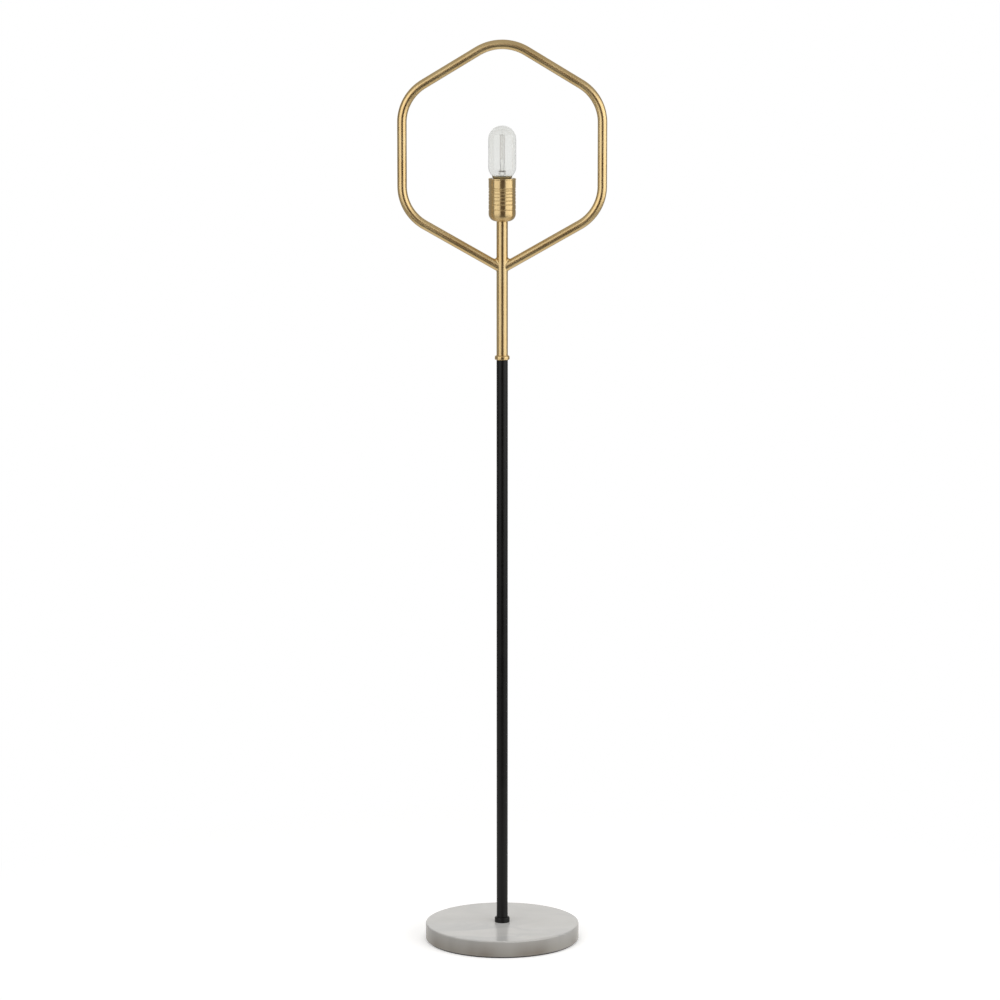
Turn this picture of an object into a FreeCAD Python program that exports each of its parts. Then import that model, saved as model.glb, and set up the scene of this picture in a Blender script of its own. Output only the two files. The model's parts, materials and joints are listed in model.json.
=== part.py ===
"""Floor lamp: a marble base, a black pole, a brass stem, one hexagon hoop of bent tube round a bare
tubular bulb. Millimetres, +Z up, origin on the floor under the middle of the base. The hoop lies in the
XZ plane, and the cord inlet is at the back, on the +Y side."""

import FreeCAD, Part
import math
import os
import re

import Sketcher

# Driving dimensions, one line each, under the piece that they belong to.
SIZES = {
    # marble base and the pad under it
    "pad_thickness": 2.0,
    "pad_inset": 3.0,
    "base_diameter": 247.65,
    "base_thickness": 25.9,
    "base_edge_radius": 2.4,
    "base_foot_radius": 1.0,
    "recess_diameter": 64.0,
    "recess_depth": 17.0,
    "rod_hole_gap": 0.75,
    # cord slot in the underside, and the rubber inlet in it
    "slot_width": 10.0,
    "slot_height": 9.0,
    "slot_crown_radius": 4.0,
    "inlet_fit": 0.1,
    "inlet_length": 14.0,
    "inlet_setback": 0.6,
    "inlet_bore": 5.6,
    "inlet_height": 4.3,
    # black pole and the collar round its foot
    "pole_diameter": 18.0,
    "pole_wall": 1.2,
    "pole_length": 916.0,
    "base_collar_diameter": 24.2,
    "base_collar_height": 8.3,
    "base_collar_edge": 2.2,
    "collar_gap": 0.1,
    # hollow threaded rods, and the inserts brazed into the tubes' ends
    "rod_diameter": 10.0,
    "rod_bore": 7.0,
    "thread_gap": 0.05,
    "rod_engagement": 13.0,
    "rod_tail": 0.8,
    "plug_length": 16.0,
    "plug_chamfer": 1.0,
    "braze_gap": 0.05,
    # clamping stack in the recess
    "washer_diameter": 38.0,
    "washer_thickness": 2.0,
    "washer_gap": 0.3,
    "spring_washer_diameter": 17.0,
    "spring_washer_thickness": 1.2,
    "spring_washer_split": 1.5,
    "base_nut_flats": 16.0,
    "base_nut_thickness": 3.5,
    # brass ring between pole and stem
    "ring_diameter": 23.5,
    "ring_height": 7.0,
    "ring_edge_radius": 2.9,
    "ring_foot_radius": 1.2,
    # brass stem
    "stem_diameter": 18.0,
    "stem_wall": 1.2,
    "stem_length": 212.4,
    # hexagon hoop: heights are measured up from its foot, the point where its centreline meets the stem's
    "hoop_foot": 137.4,
    "hoop_width": 330.2,
    "hoop_tube_diameter": 15.0,
    "hoop_tube_wall": 1.2,
    "hoop_lower_corner": 89.2,
    "hoop_upper_corner": 269.7,
    "hoop_crown": 364.53,
    "hoop_bend_radius": 70.0,
    "hoop_crown_radius": 75.0,
    "weld_radius": 3.2,
    # socket cup and its seven turned grooves
    "cup_diameter": 43.0,
    "cup_height": 67.4,
    "cup_wall": 1.2,
    "cup_corner_radius": 11.75,
    "groove_width": 1.3,
    "groove_depth": 0.7,
    "first_groove_height": 18.4,
    "groove_step_a": 8.4,
    "groove_step_b": 6.2,
    "groove_step_c": 5.5,
    "groove_step_d": 5.25,
    "groove_step_e": 4.85,
    "groove_step_f": 3.2,
    # lampholder inside the cup
    "cup_nut_flats": 14.0,
    "cup_nut_thickness": 3.0,
    "bracket_thickness": 1.6,
    "bracket_width": 12.0,
    "bracket_height": 17.5,
    "bracket_span": 23.0,
    "bracket_foot_span": 37.2,
    "bracket_bend_radius": 0.8,
    "bracket_boss_diameter": 14.0,
    "bracket_boss_height": 4.0,
    "bracket_screw_span": 30.8,
    "screw_diameter": 3.0,
    "screw_head_diameter": 5.4,
    "screw_head_thickness": 1.8,
    "screw_head_edge": 0.6,
    "screw_depth": 8.0,
    "screw_gap": 0.15,
    "insulator_height": 45.1,
    "insulator_floor": 15.9,
    "insulator_gap": 0.3,
    "insulator_chamfer": 1.2,
    "shell_wall": 0.6,
    "shell_height": 27.6,
    "shell_gap": 0.15,
    "shell_floor_hole": 18.0,
    "contact_height": 2.7,
    "contact_thickness": 0.6,
    "contact_width": 5.0,
    "contact_foot": 4.4,
    "contact_rise": 3.0,
    "contact_tip": 3.8,
    "live_rivet_offset": 6.0,
    "live_rivet_angle": 37.0,
    "neutral_rivet_offset": 11.2,
    "neutral_rivet_angle": 32.4,
    "rivet_diameter": 2.4,
    "rivet_head_diameter": 3.8,
    "rivet_head_thickness": 0.7,
    "rivet_gap": 0.1,
    "terminal_offset": 13.0,
    "terminal_width": 7.0,
    "terminal_thickness": 0.8,
    "terminal_margin": 3.0,
    "terminal_corner": 1.0,
    "terminal_screw_depth": 6.0,
    # lead that the lamp holds all the way
    "lead_diameter": 5.2,
    "lead_bend_radius": 5.2,
    "lead_top_gap": 0.5,
    "conductor_diameter": 1.8,
    "conductor_spacing": 2.6,
    "conductor_bend_radius": 4.0,
    "conductor_gap": 0.05,
    # screw thread of the cap, seven turns to the inch
    "thread_pitch": 3.629,
    "thread_depth": 0.8,
    "thread_turns": 4.5,
    "thread_start": 8.0,
    "thread_crest": 0.9,
    "thread_play": 0.15,
    "thread_root": 0.1,
    "cap_diameter": 26.2,
    "cap_wall": 0.5,
    "cap_foot": 5.4,
    "cap_neck_height": 24.4,
    "cap_rim_height": 30.0,
    "cap_rim_flare": 3.8,
    # bulb: heights are measured up from the tip of its contact
    "button_diameter": 8.8,
    "button_thickness": 1.5,
    "button_edge_radius": 1.1,
    "seal_foot_diameter": 10.4,
    "seal_height": 7.0,
    "seal_hole": 2.0,
    "seal_gap": 0.1,
    "bulb_length": 109.9,
    "bulb_diameter": 44.0,
    "glass_wall": 0.8,
    "dome_radius": 21.0,
    "shoulder_radius": 20.0,
    "shoulder_height": 38.1,
    "neck_diameter": 21.8,
    "neck_top": 24.4,
    "neck_foot": 9.5,
    "neck_bend_radius": 3.0,
    "cement_foot": 12.0,
    "cement_top": 23.0,
    "cement_gap": 0.05,
    "flare_top": 20.0,
    "flare_bend_radius": 7.0,
    "mount_diameter": 10.4,
    "mount_wall": 1.0,
    "mount_top": 35.5,
    "press_width": 11.0,
    "press_depth": 3.6,
    "press_foot": 33.0,
    "press_height": 8.5,
    "press_corner": 1.0,
    "arbor_diameter": 2.2,
    "arbor_top": 97.5,
    "lead_wire_diameter": 0.6,
    "lead_wire_offset": 2.6,
    "lead_wire_bend_radius": 1.2,
    "lead_wire_gap": 0.1,
    "filament_diameter": 0.26,
    "filament_radius": 3.4,
    "filament_foot": 57.0,
    "filament_top": 95.5,
    "filament_bend_radius": 0.35,
    "hook_diameter": 0.3,
    "hook_overhang": 0.5,
    "hook_gap": 0.05,
}
FILAMENT_STRANDS = 6

doc = FreeCAD.newDocument("hexagon_floor_lamp")
sheet = doc.addObject("Spreadsheet::Sheet", "Sizes")
for row, (alias, number) in enumerate(SIZES.items(), start=1):
    sheet.set(f"A{row}", alias)
    sheet.set(f"B{row}", str(number))
    sheet.setAlias(f"B{row}", alias)
doc.recompute()

subparts = []


# ---------------------------------------------------------------- heights, from the floor up
BASE_FOOT = "pad_thickness"
BASE_TOP = BASE_FOOT + " + base_thickness"
POLE_TOP = BASE_TOP + " + pole_length"
STEM_FOOT = POLE_TOP + " + ring_height"
HOOP_FOOT = STEM_FOOT + " + hoop_foot"
STEM_TOP = STEM_FOOT + " + stem_length"
CUP_FLOOR = STEM_TOP + " + cup_wall"
BRACKET_FOOT = CUP_FLOOR + " + cup_nut_thickness"
INSULATOR_FOOT = BRACKET_FOOT + " + bracket_height"
SHELL_FOOT = INSULATOR_FOOT + " + insulator_floor"
BULB_TIP = SHELL_FOOT + " + contact_height"

# Under the recess's ceiling the clamping stack hangs down, and the rod ends just below it.
RECESS_CEILING = BASE_FOOT + " + recess_depth"
WASHER_FOOT = RECESS_CEILING + " - washer_thickness"
SPRING_WASHER_FOOT = WASHER_FOOT + " - spring_washer_thickness"
BASE_NUT_FOOT = SPRING_WASHER_FOOT + " - base_nut_thickness"
ROD_FOOT = BASE_NUT_FOOT + " - rod_tail"
INLET_AXIS = BASE_FOOT + " + inlet_height"

# Radii that more than one piece uses.
ROD_RADIUS = "rod_diameter / 2"
ROD_HOLE = "rod_diameter / 2 + thread_gap"
STEM_RADIUS = "stem_diameter / 2"
CUP_BORE = "cup_diameter / 2 - cup_wall"
CAP_CREST = "cap_diameter / 2"
CAP_ROOT = "cap_diameter / 2 - thread_depth"
CAP_BORE = CAP_ROOT + " - cap_wall"
SHELL_BORE = CAP_CREST + " + thread_play"
SHELL_CREST = CAP_ROOT + " + thread_play"
SHELL_OUTSIDE = SHELL_BORE + " + shell_wall"

# How far above and below the hoop's foot its joint with the stem is worked.
JOINT_REACH = "2 * hoop_tube_diameter"


# ---------------------------------------------------------------- helpers
def prefixed(text):
    """The same expression with each size named as a cell of the sheet."""
    return re.sub(r"[a-z_]+", lambda word: "Sizes." * (word.group() in SIZES) + word.group(), text)


def value(text):
    return float(sheet.evalExpression(text))


def bind(thing, place, text):
    thing.setExpression(place, prefixed(text))


def stand(thing, height, x="0", y="0"):
    """Seats a piece at its height above the floor, and at its place across and from front to back."""
    bind(thing, ".Placement.Base.z", height)
    if x != "0":
        bind(thing, ".Placement.Base.x", x)
    if y != "0":
        bind(thing, ".Placement.Base.y", y)


def keep(thing):
    """Counts a finished piece among the lamp's sub-parts."""
    subparts.append(thing)
    return thing


def new_body(name):
    body = doc.addObject("PartDesign::Body", name)
    body.Label = name
    return body


def new_sketch(body, role, name):
    """A sketch on one of the body's own origin planes."""
    sketch = body.newObject("Sketcher::SketchObject", name)
    plane = next(f for f in body.Origin.OriginFeatures if f.Role == role)
    sketch.AttachmentSupport = [(plane, "")]
    sketch.MapMode = "FlatFace"
    return sketch


def constrain(sketch, text, kind, *where):
    """A dimension in a sketch, bound to the sheet."""
    index = sketch.addConstraint(Sketcher.Constraint(kind, *where, value(text)))
    bind(sketch, f"Constraints[{index}]", text)


def locate(sketch, shape, end, x, y):
    """Puts a point at x and y. A coordinate of 0 lies on the axis."""
    if x == "0":
        sketch.addConstraint(Sketcher.Constraint("PointOnObject", shape, end, -2))
    else:
        constrain(sketch, x, "DistanceX", -1, 1, shape, end)
    if y == "0":
        sketch.addConstraint(Sketcher.Constraint("PointOnObject", shape, end, -1))
    else:
        constrain(sketch, y, "DistanceY", -1, 1, shape, end)


def toward(start, end):
    return (end - start).normalize()


def bend(before, corner, after, radius):
    """Where an arc of this radius leaves and joins the two runs at a corner, and its middle."""
    back = toward(corner, before)
    ahead = toward(corner, after)
    half = back.getAngle(ahead) / 2
    tangent = radius / math.tan(half)
    centre = corner + (back + ahead).normalize() * (radius / math.sin(half))
    middle = centre + toward(centre, corner) * radius
    return corner + back * tangent, middle, corner + ahead * tangent


def outline(sketch, corners, closed=True):
    """Straight runs from corner to corner. A corner is (x, y) or (x, y, radius), and one with a radius is
    rounded by an arc tangent to both of its runs."""
    count = len(corners)
    points = [FreeCAD.Vector(value(c[0]), value(c[1]), 0) for c in corners]
    arrive, depart, middles = list(points), list(points), {}
    for i, corner in enumerate(corners):
        if len(corner) == 3:
            around = points[i - 1], points[i], points[(i + 1) % count]
            arrive[i], middles[i], depart[i] = bend(*around, value(corner[2]))
    runs = [
        sketch.addGeometry(Part.LineSegment(depart[i], arrive[(i + 1) % count]))
        for i in range(count if closed else count - 1)
    ]
    for i, corner in enumerate(corners):
        if not closed and i in (0, count - 1):
            run, end = (runs[0], 1) if i == 0 else (runs[-1], 2)
            locate(sketch, run, end, corner[0], corner[1])
        elif i in middles:
            arc = sketch.addGeometry(Part.Arc(arrive[i], middles[i], depart[i]))
            first = 1 if (sketch.getPoint(arc, 1) - arrive[i]).Length < 1e-6 else 2
            sketch.addConstraint(Sketcher.Constraint("Tangent", runs[i - 1], 2, arc, first))
            sketch.addConstraint(Sketcher.Constraint("Tangent", runs[i], 1, arc, 3 - first))
            constrain(sketch, corner[2], "Radius", arc)
            tip = sketch.addGeometry(Part.Point(points[i]), True)
            sketch.addConstraint(Sketcher.Constraint("PointOnObject", tip, 1, runs[i - 1]))
            sketch.addConstraint(Sketcher.Constraint("PointOnObject", tip, 1, runs[i]))
            locate(sketch, tip, 1, corner[0], corner[1])
        else:
            sketch.addConstraint(Sketcher.Constraint("Coincident", runs[i - 1], 2, runs[i], 1))
            locate(sketch, runs[i], 1, corner[0], corner[1])


def circle(sketch, radius, x="0", y="0"):
    centre = FreeCAD.Vector(value(x), value(y), 0)
    ring = sketch.addGeometry(Part.Circle(centre, FreeCAD.Vector(0, 0, 1), value(radius)))
    locate(sketch, ring, 3, x, y)
    constrain(sketch, radius, "Radius", ring)


def revolved(name, corners):
    """A piece turned about its own upright axis from a profile of (radius, height) corners."""
    body = new_body(name)
    sketch = new_sketch(body, "XZ_Plane", name + "_profile")
    outline(sketch, corners)
    turning = body.newObject("PartDesign::Revolution", name + "_turning")
    turning.Profile = sketch
    turning.ReferenceAxis = (sketch, ["V_Axis"])
    turning.Angle = 360
    return body


def pad(body, sketch, length, middle=False):
    feature = body.newObject("PartDesign::Pad", sketch.Name + "_pad")
    feature.Profile = sketch
    feature.Midplane = middle
    bind(feature, "Length", length)
    return feature


def pocket(body, sketch, length, forward=False, middle=False):
    """A cut as long as stated. Forward, it goes the way the sketch's plane faces."""
    feature = body.newObject("PartDesign::Pocket", sketch.Name + "_pocket")
    feature.Profile = sketch
    feature.Midplane = middle
    feature.Reversed = forward
    bind(feature, "Length", length)
    return feature


def cylinder(name, radius, height):
    solid = doc.addObject("Part::Cylinder", name)
    bind(solid, "Radius", radius)
    bind(solid, "Height", height)
    return solid


def tube(name, outside, inside, length):
    """A straight tube, ring or washer, from its outer radius, inner radius and length."""
    ring = doc.addObject("Part::Cut", name)
    ring.Base = cylinder(name + "_outside", outside, length)
    ring.Tool = cylinder(name + "_bore", inside, length)
    ring.Label = name
    return ring


def hexagon_nut(name, flats, thickness):
    """A hexagon nut on the threaded rod. The prism's own size is measured over its corners."""
    prism = doc.addObject("Part::Prism", name + "_prism")
    prism.Polygon = 6
    bind(prism, "Circumradius", f"{flats} / 2 / cos(30)")
    bind(prism, "Height", thickness)
    nut = doc.addObject("Part::Cut", name)
    nut.Base = prism
    nut.Tool = cylinder(name + "_thread", ROD_HOLE, thickness)
    nut.Label = name
    return nut


def group(name, solids):
    """Identical small pieces that share one node."""
    together = doc.addObject("Part::Compound", name)
    together.Links = solids
    together.Label = name
    return together


def pipe(body, profile, path):
    """A section carried along a path sketch."""
    sweep = body.newObject("PartDesign::AdditivePipe", path.Name + "_sweep")
    sweep.Profile = profile
    sweep.Spine = (path, [])
    return sweep


def swept_wire(points, bend_radius, wire_radius):
    """A thin round wire along straight runs joined by tangent arcs."""
    edges = []
    start = points[0]
    for before, corner, after in zip(points, points[1:], points[2:]):
        arrive, middle, depart = bend(before, corner, after, bend_radius)
        edges.append(Part.LineSegment(start, arrive).toShape())
        edges.append(Part.Arc(arrive, middle, depart).toShape())
        start = depart
    edges.append(Part.LineSegment(start, points[-1]).toShape())
    ring = Part.makeCircle(wire_radius, points[0], toward(points[0], points[1]))
    return Part.Wire(edges).makePipeShell([Part.Wire([ring])], True, False)


def shaped(name, shape, height):
    """A piece whose form no sketch or primitive gives."""
    piece = doc.addObject("Part::Feature", name)
    piece.Shape = shape
    piece.Label = name
    piece.Placement = FreeCAD.Placement(FreeCAD.Vector(0, 0, value(height)), FreeCAD.Rotation())
    return piece


# ---------------------------------------------------------------- base
def foot_pad():
    pad_disc = cylinder("foot_pad", "base_diameter / 2 - pad_inset", "pad_thickness")
    pad_disc.Label = "foot_pad"
    return pad_disc


def marble_base():
    """A turned disc with a soft upper edge, a recess for the clamping stack and a slot for the cord."""
    rim = "base_diameter / 2"
    bore = "rod_diameter / 2 + rod_hole_gap"
    recess = "recess_diameter / 2"
    body = revolved(
        "marble_base",
        [
            (recess, "0"),
            (rim, "0", "base_foot_radius"),
            (rim, "base_thickness", "base_edge_radius"),
            (bore, "base_thickness"),
            (bore, "recess_depth"),
            (recess, "recess_depth"),
        ],
    )
    slot = new_sketch(body, "XZ_Plane", "cord_slot")
    half = "slot_width / 2"
    outline(
        slot,
        [
            ("-" + half, "0"),
            (half, "0"),
            (half, "slot_height", "slot_crown_radius"),
            ("-" + half, "slot_height", "slot_crown_radius"),
        ],
    )
    pocket(body, slot, "base_diameter / 2")
    stand(body, BASE_FOOT)
    return body


def cord_grommet():
    """A rubber arch that fills the slot's outer end, flush with the rim but for a small setback."""
    body = new_body("cord_grommet")
    arch = new_sketch(body, "XZ_Plane", "grommet_arch")
    half = "(slot_width / 2 - inlet_fit)"
    top = "slot_height - inlet_fit"
    crown = "slot_crown_radius - inlet_fit"
    outline(arch, [("-" + half, "0"), (half, "0"), (half, top, crown), ("-" + half, top, crown)])
    circle(arch, "inlet_bore / 2", "0", "inlet_height")
    pad(body, arch, "inlet_length")
    stand(body, BASE_FOOT, y="base_diameter / 2 - inlet_setback")
    return body


def base_collar():
    bore = "pole_diameter / 2 + collar_gap"
    outside = "base_collar_diameter / 2"
    top = "base_collar_height"
    corners = [(bore, "0"), (outside, "0"), (outside, top, "base_collar_edge"), (bore, top)]
    collar = revolved("base_collar", corners)
    stand(collar, BASE_TOP)
    return collar


def base_washer():
    washer = tube("base_washer", "washer_diameter / 2", ROD_RADIUS + " + washer_gap", "washer_thickness")
    stand(washer, WASHER_FOOT)
    return washer


def base_lock_washer():
    """A spring washer: a flat ring with a straight split through one side."""
    ring = tube(
        "spring_washer_ring",
        "spring_washer_diameter / 2",
        ROD_RADIUS + " + washer_gap",
        "spring_washer_thickness",
    )
    split = doc.addObject("Part::Box", "spring_washer_gap")
    bind(split, "Length", "spring_washer_diameter")
    bind(split, "Width", "spring_washer_split")
    bind(split, "Height", "spring_washer_thickness")
    bind(split, ".Placement.Base.y", "-spring_washer_split / 2")
    washer = doc.addObject("Part::Cut", "base_lock_washer")
    washer.Base = ring
    washer.Tool = split
    washer.Label = "base_lock_washer"
    stand(washer, SPRING_WASHER_FOOT)
    return washer


def base_locknut():
    nut = hexagon_nut("base_locknut", "base_nut_flats", "base_nut_thickness")
    stand(nut, BASE_NUT_FOOT)
    return nut


# ---------------------------------------------------------------- threaded rods and inserts
def rod(name, foot, length):
    """A hollow threaded rod that leaves room for the lead."""
    piece = tube(name, ROD_RADIUS, "rod_bore / 2", length)
    stand(piece, foot)
    return piece


def plug(name, tube_bore, foot, chamfer_up):
    """A threaded insert brazed into a tube's end, with a lead-in chamfer on the inner side."""
    outside = tube_bore + " - braze_gap"
    narrow = outside + " - plug_chamfer"
    if chamfer_up:
        edge = [(outside, "0"), (outside, "plug_length - plug_chamfer"), (narrow, "plug_length")]
    else:
        edge = [(narrow, "0"), (outside, "plug_chamfer"), (outside, "plug_length")]
    piece = revolved(name, [(ROD_HOLE, "0"), *edge, (ROD_HOLE, "plug_length")])
    stand(piece, foot)
    return piece


# ---------------------------------------------------------------- pole, ring and stem
def pole_tube():
    pole = tube("pole_tube", "pole_diameter / 2", "pole_diameter / 2 - pole_wall", "pole_length")
    stand(pole, BASE_TOP)
    return pole


def joint_ring():
    """The brass ring that the pole and the stem both butt against."""
    outside = "ring_diameter / 2"
    bore = ROD_HOLE
    corners = [
        (bore, "0"),
        (outside, "0", "ring_foot_radius"),
        (outside, "ring_height", "ring_edge_radius"),
        (bore, "ring_height"),
    ]
    ring = revolved("joint_ring", corners)
    stand(ring, POLE_TOP)
    return ring


def stem_tube():
    stem = tube("stem_tube", STEM_RADIUS, STEM_RADIUS + " - stem_wall", "stem_length")
    stand(stem, STEM_FOOT)
    return stem


# ---------------------------------------------------------------- hexagon hoop
def hoop_path(body):
    """Half of the hoop's centreline: crown, upper slope, corner, upright side, corner, lower slope."""
    side = "hoop_width / 2 - hoop_tube_diameter / 2"
    crown = FreeCAD.Vector(0, value("hoop_crown"), 0)
    upper = FreeCAD.Vector(value(side), value("hoop_upper_corner"), 0)
    lower = FreeCAD.Vector(value(side), value("hoop_lower_corner"), 0)
    foot = FreeCAD.Vector(0, 0, 0)
    end = FreeCAD.Vector(value(STEM_RADIUS) / 2, 0, 0)
    end.y = end.x * lower.y / lower.x
    mirrored = FreeCAD.Vector(-upper.x, upper.y, 0)
    _, top, leave = bend(mirrored, crown, upper, value("hoop_crown_radius"))
    upper_in, upper_middle, upper_out = bend(crown, upper, lower, value("hoop_bend_radius"))
    lower_in, lower_middle, lower_out = bend(upper, lower, foot, value("hoop_bend_radius"))
    centre = top - FreeCAD.Vector(0, value("hoop_crown_radius"), 0)
    halfway = centre + (toward(centre, top) + toward(centre, leave)).normalize() * (top - centre).Length

    path = new_sketch(body, "XZ_Plane", "hoop_path")
    arcs = [
        path.addGeometry(Part.Arc(top, halfway, leave)),
        path.addGeometry(Part.Arc(upper_in, upper_middle, upper_out)),
        path.addGeometry(Part.Arc(lower_in, lower_middle, lower_out)),
    ]
    runs = [
        path.addGeometry(Part.LineSegment(leave, upper_in)),
        path.addGeometry(Part.LineSegment(upper_out, lower_in)),
        path.addGeometry(Part.LineSegment(lower_out, end)),
    ]
    for arc, run in zip(arcs, runs):
        path.addConstraint(Sketcher.Constraint("Tangent", arc, 1, run, 1))
    for run, arc in zip(runs, arcs[1:]):
        path.addConstraint(Sketcher.Constraint("Tangent", run, 2, arc, 2))
    path.addConstraint(Sketcher.Constraint("PointOnObject", arcs[0], 2, -2))
    path.addConstraint(Sketcher.Constraint("PointOnObject", arcs[0], 3, -2))
    constrain(path, "hoop_crown_radius", "Radius", arcs[0])
    constrain(path, "hoop_bend_radius", "Radius", arcs[1])
    constrain(path, "hoop_bend_radius", "Radius", arcs[2])
    corners = [
        (crown, "0", "hoop_crown", runs[:1]),
        (upper, side, "hoop_upper_corner", runs[:2]),
        (lower, side, "hoop_lower_corner", runs[1:]),
        (foot, "0", "0", runs[2:]),
    ]
    for point, x, y, meeting in corners:
        tip = path.addGeometry(Part.Point(point), True)
        locate(path, tip, 1, x, y)
        for run in meeting:
            path.addConstraint(Sketcher.Constraint("PointOnObject", tip, 1, run))
    constrain(path, STEM_RADIUS + " / 2", "DistanceX", -1, 1, runs[2], 2)
    return path


def hexagon_hoop():
    """One tube bent in the XZ plane, made as a half and mirrored, with both ends cut to the stem."""
    body = new_body("hexagon_hoop")
    section = new_sketch(body, "YZ_Plane", "hoop_section")
    side = "(hoop_width / 2 - hoop_tube_diameter / 2)"
    slope = f"sqrt((hoop_crown - hoop_upper_corner) ^ 2 + {side} ^ 2) / {side}"
    top = f"hoop_crown - hoop_crown_radius * ({slope} - 1)"
    circle(section, "hoop_tube_diameter / 2", "0", top)
    circle(section, "hoop_tube_diameter / 2 - hoop_tube_wall", "0", top)
    half = pipe(body, section, hoop_path(body))
    whole = body.newObject("PartDesign::Mirrored", "hoop_mirrored")
    whole.Originals = [half]
    whole.MirrorPlane = (next(f for f in body.Origin.OriginFeatures if f.Role == "YZ_Plane"), [""])
    body.Tip = whole
    saddle = new_sketch(body, "XY_Plane", "stem_saddle")
    circle(saddle, STEM_RADIUS + " + braze_gap")
    pocket(body, saddle, "2 * " + JOINT_REACH, middle=True)
    stand(body, HOOP_FOOT)
    return body


def weld_fillets():
    """Smoothed brazing round each end of the hoop: the fillet between stem and hoop, without either."""
    reach = value(JOINT_REACH)
    slope = FreeCAD.Vector(value("hoop_width / 2 - hoop_tube_diameter / 2"), 0, value("hoop_lower_corner"))
    stem_radius = value(STEM_RADIUS)
    hoop_radius = value("hoop_tube_diameter / 2")
    gap = value("braze_gap")
    foot = FreeCAD.Vector(0, 0, -reach)
    up = FreeCAD.Vector(0, 0, 1)
    stem = Part.makeCylinder(stem_radius, 2 * reach, foot, up)
    arm = Part.makeCylinder(hoop_radius, reach, FreeCAD.Vector(), slope)
    joined = stem.fuse(arm)
    seam = [edge for edge in joined.Edges if on_seam(edge, stem_radius, slope, hoop_radius)]
    filleted = joined.makeFillet(value("weld_radius"), seam)
    bead = filleted.cut(Part.makeCylinder(stem_radius + gap, 2 * reach, foot, up))
    bead = bead.cut(Part.makeCylinder(hoop_radius + gap, reach, FreeCAD.Vector(), slope))
    right = max(bead.Solids, key=lambda solid: solid.Volume)
    left = right.mirror(FreeCAD.Vector(), FreeCAD.Vector(1, 0, 0))
    return shaped("weld_fillets", Part.makeCompound([right, left]), HOOP_FOOT)


def on_seam(edge, stem_radius, slope, hoop_radius):
    """Whether an edge lies on both cylinders."""
    axis = FreeCAD.Vector(slope).normalize()
    for part in (0.25, 0.5, 0.75):
        first, last = edge.ParameterRange
        point = edge.valueAt(first + (last - first) * part)
        off_stem = abs(math.hypot(point.x, point.y) - stem_radius)
        off_arm = abs((point - axis * point.dot(axis)).Length - hoop_radius)
        if off_stem > 1e-3 or off_arm > 1e-3:
            return False
    return True


# ---------------------------------------------------------------- socket
def socket_cup():
    """A spun cup with a round-bottomed wall and seven turned grooves."""
    outside = "cup_diameter / 2"
    hole = ROD_HOLE
    body = revolved(
        "socket_cup",
        [
            (hole, "0"),
            (outside, "0", "cup_corner_radius"),
            (outside, "cup_height"),
            (CUP_BORE, "cup_height"),
            (CUP_BORE, "cup_wall", "cup_corner_radius - cup_wall"),
            (hole, "cup_wall"),
        ],
    )
    grooves = new_sketch(body, "XZ_Plane", "cup_grooves")
    height = "first_groove_height"
    for step in ("", *(f" + groove_step_{letter}" for letter in "abcdef")):
        height += step
        outline(
            grooves,
            [
                (outside + " + groove_depth", height + " - groove_width"),
                (outside + " - groove_depth", height),
                (outside + " + groove_depth", height + " + groove_width"),
            ],
        )
    turning = body.newObject("PartDesign::Groove", "groove_turning")
    turning.Profile = grooves
    turning.ReferenceAxis = (grooves, ["V_Axis"])
    turning.Angle = 360
    stand(body, STEM_TOP)
    return body


def socket_locknut():
    nut = hexagon_nut("socket_locknut", "cup_nut_flats", "cup_nut_thickness")
    stand(nut, CUP_FLOOR)
    return nut


def socket_bracket():
    """A strap bent to a U with its feet turned out, and a threaded boss in its floor."""
    body = new_body("socket_bracket")
    strap = new_sketch(body, "XZ_Plane", "strap_edge")
    arm = "bracket_span / 2"
    foot = "bracket_foot_span / 2"
    sheet_thickness = "bracket_thickness"
    inner = "bracket_bend_radius"
    outer = "bracket_bend_radius + bracket_thickness"
    outline(
        strap,
        [
            ("0", "0"),
            (arm, "0", outer),
            (arm, "bracket_height - bracket_thickness", inner),
            (foot, "bracket_height - bracket_thickness"),
            (foot, "bracket_height"),
            (arm + " - bracket_thickness", "bracket_height", outer),
            (arm + " - bracket_thickness", sheet_thickness, inner),
            ("0", sheet_thickness),
        ],
    )
    half = pad(body, strap, "bracket_width", middle=True)
    whole = body.newObject("PartDesign::Mirrored", "bracket_mirrored")
    whole.Originals = [half]
    whole.MirrorPlane = (next(f for f in body.Origin.OriginFeatures if f.Role == "YZ_Plane"), [""])
    body.Tip = whole
    boss = new_sketch(body, "XY_Plane", "bracket_boss")
    circle(boss, "bracket_boss_diameter / 2")
    pad(body, boss, "bracket_thickness + bracket_boss_height")
    thread = new_sketch(body, "XY_Plane", "bracket_thread")
    circle(thread, ROD_HOLE)
    pocket(body, thread, "bracket_thickness + bracket_boss_height", forward=True)
    holes = new_sketch(body, "XY_Plane", "bracket_screw_holes")
    for side in ("", "-"):
        circle(holes, "screw_diameter / 2 + screw_gap", side + "bracket_screw_span / 2")
    pocket(body, holes, "bracket_height", forward=True)
    stand(body, BRACKET_FOOT)
    return body


def screw(name, shank, x, y, height):
    """A pan-head screw, point up: head below, then a shank of the stated length."""
    head = "screw_head_diameter / 2"
    body = revolved(
        name,
        [
            ("0", "0"),
            (head, "0", "screw_head_edge"),
            (head, "screw_head_thickness"),
            ("screw_diameter / 2", "screw_head_thickness"),
            ("screw_diameter / 2", "screw_head_thickness + " + shank),
            ("0", "screw_head_thickness + " + shank),
        ],
    )
    stand(body, height, x, y)
    return body


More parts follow.
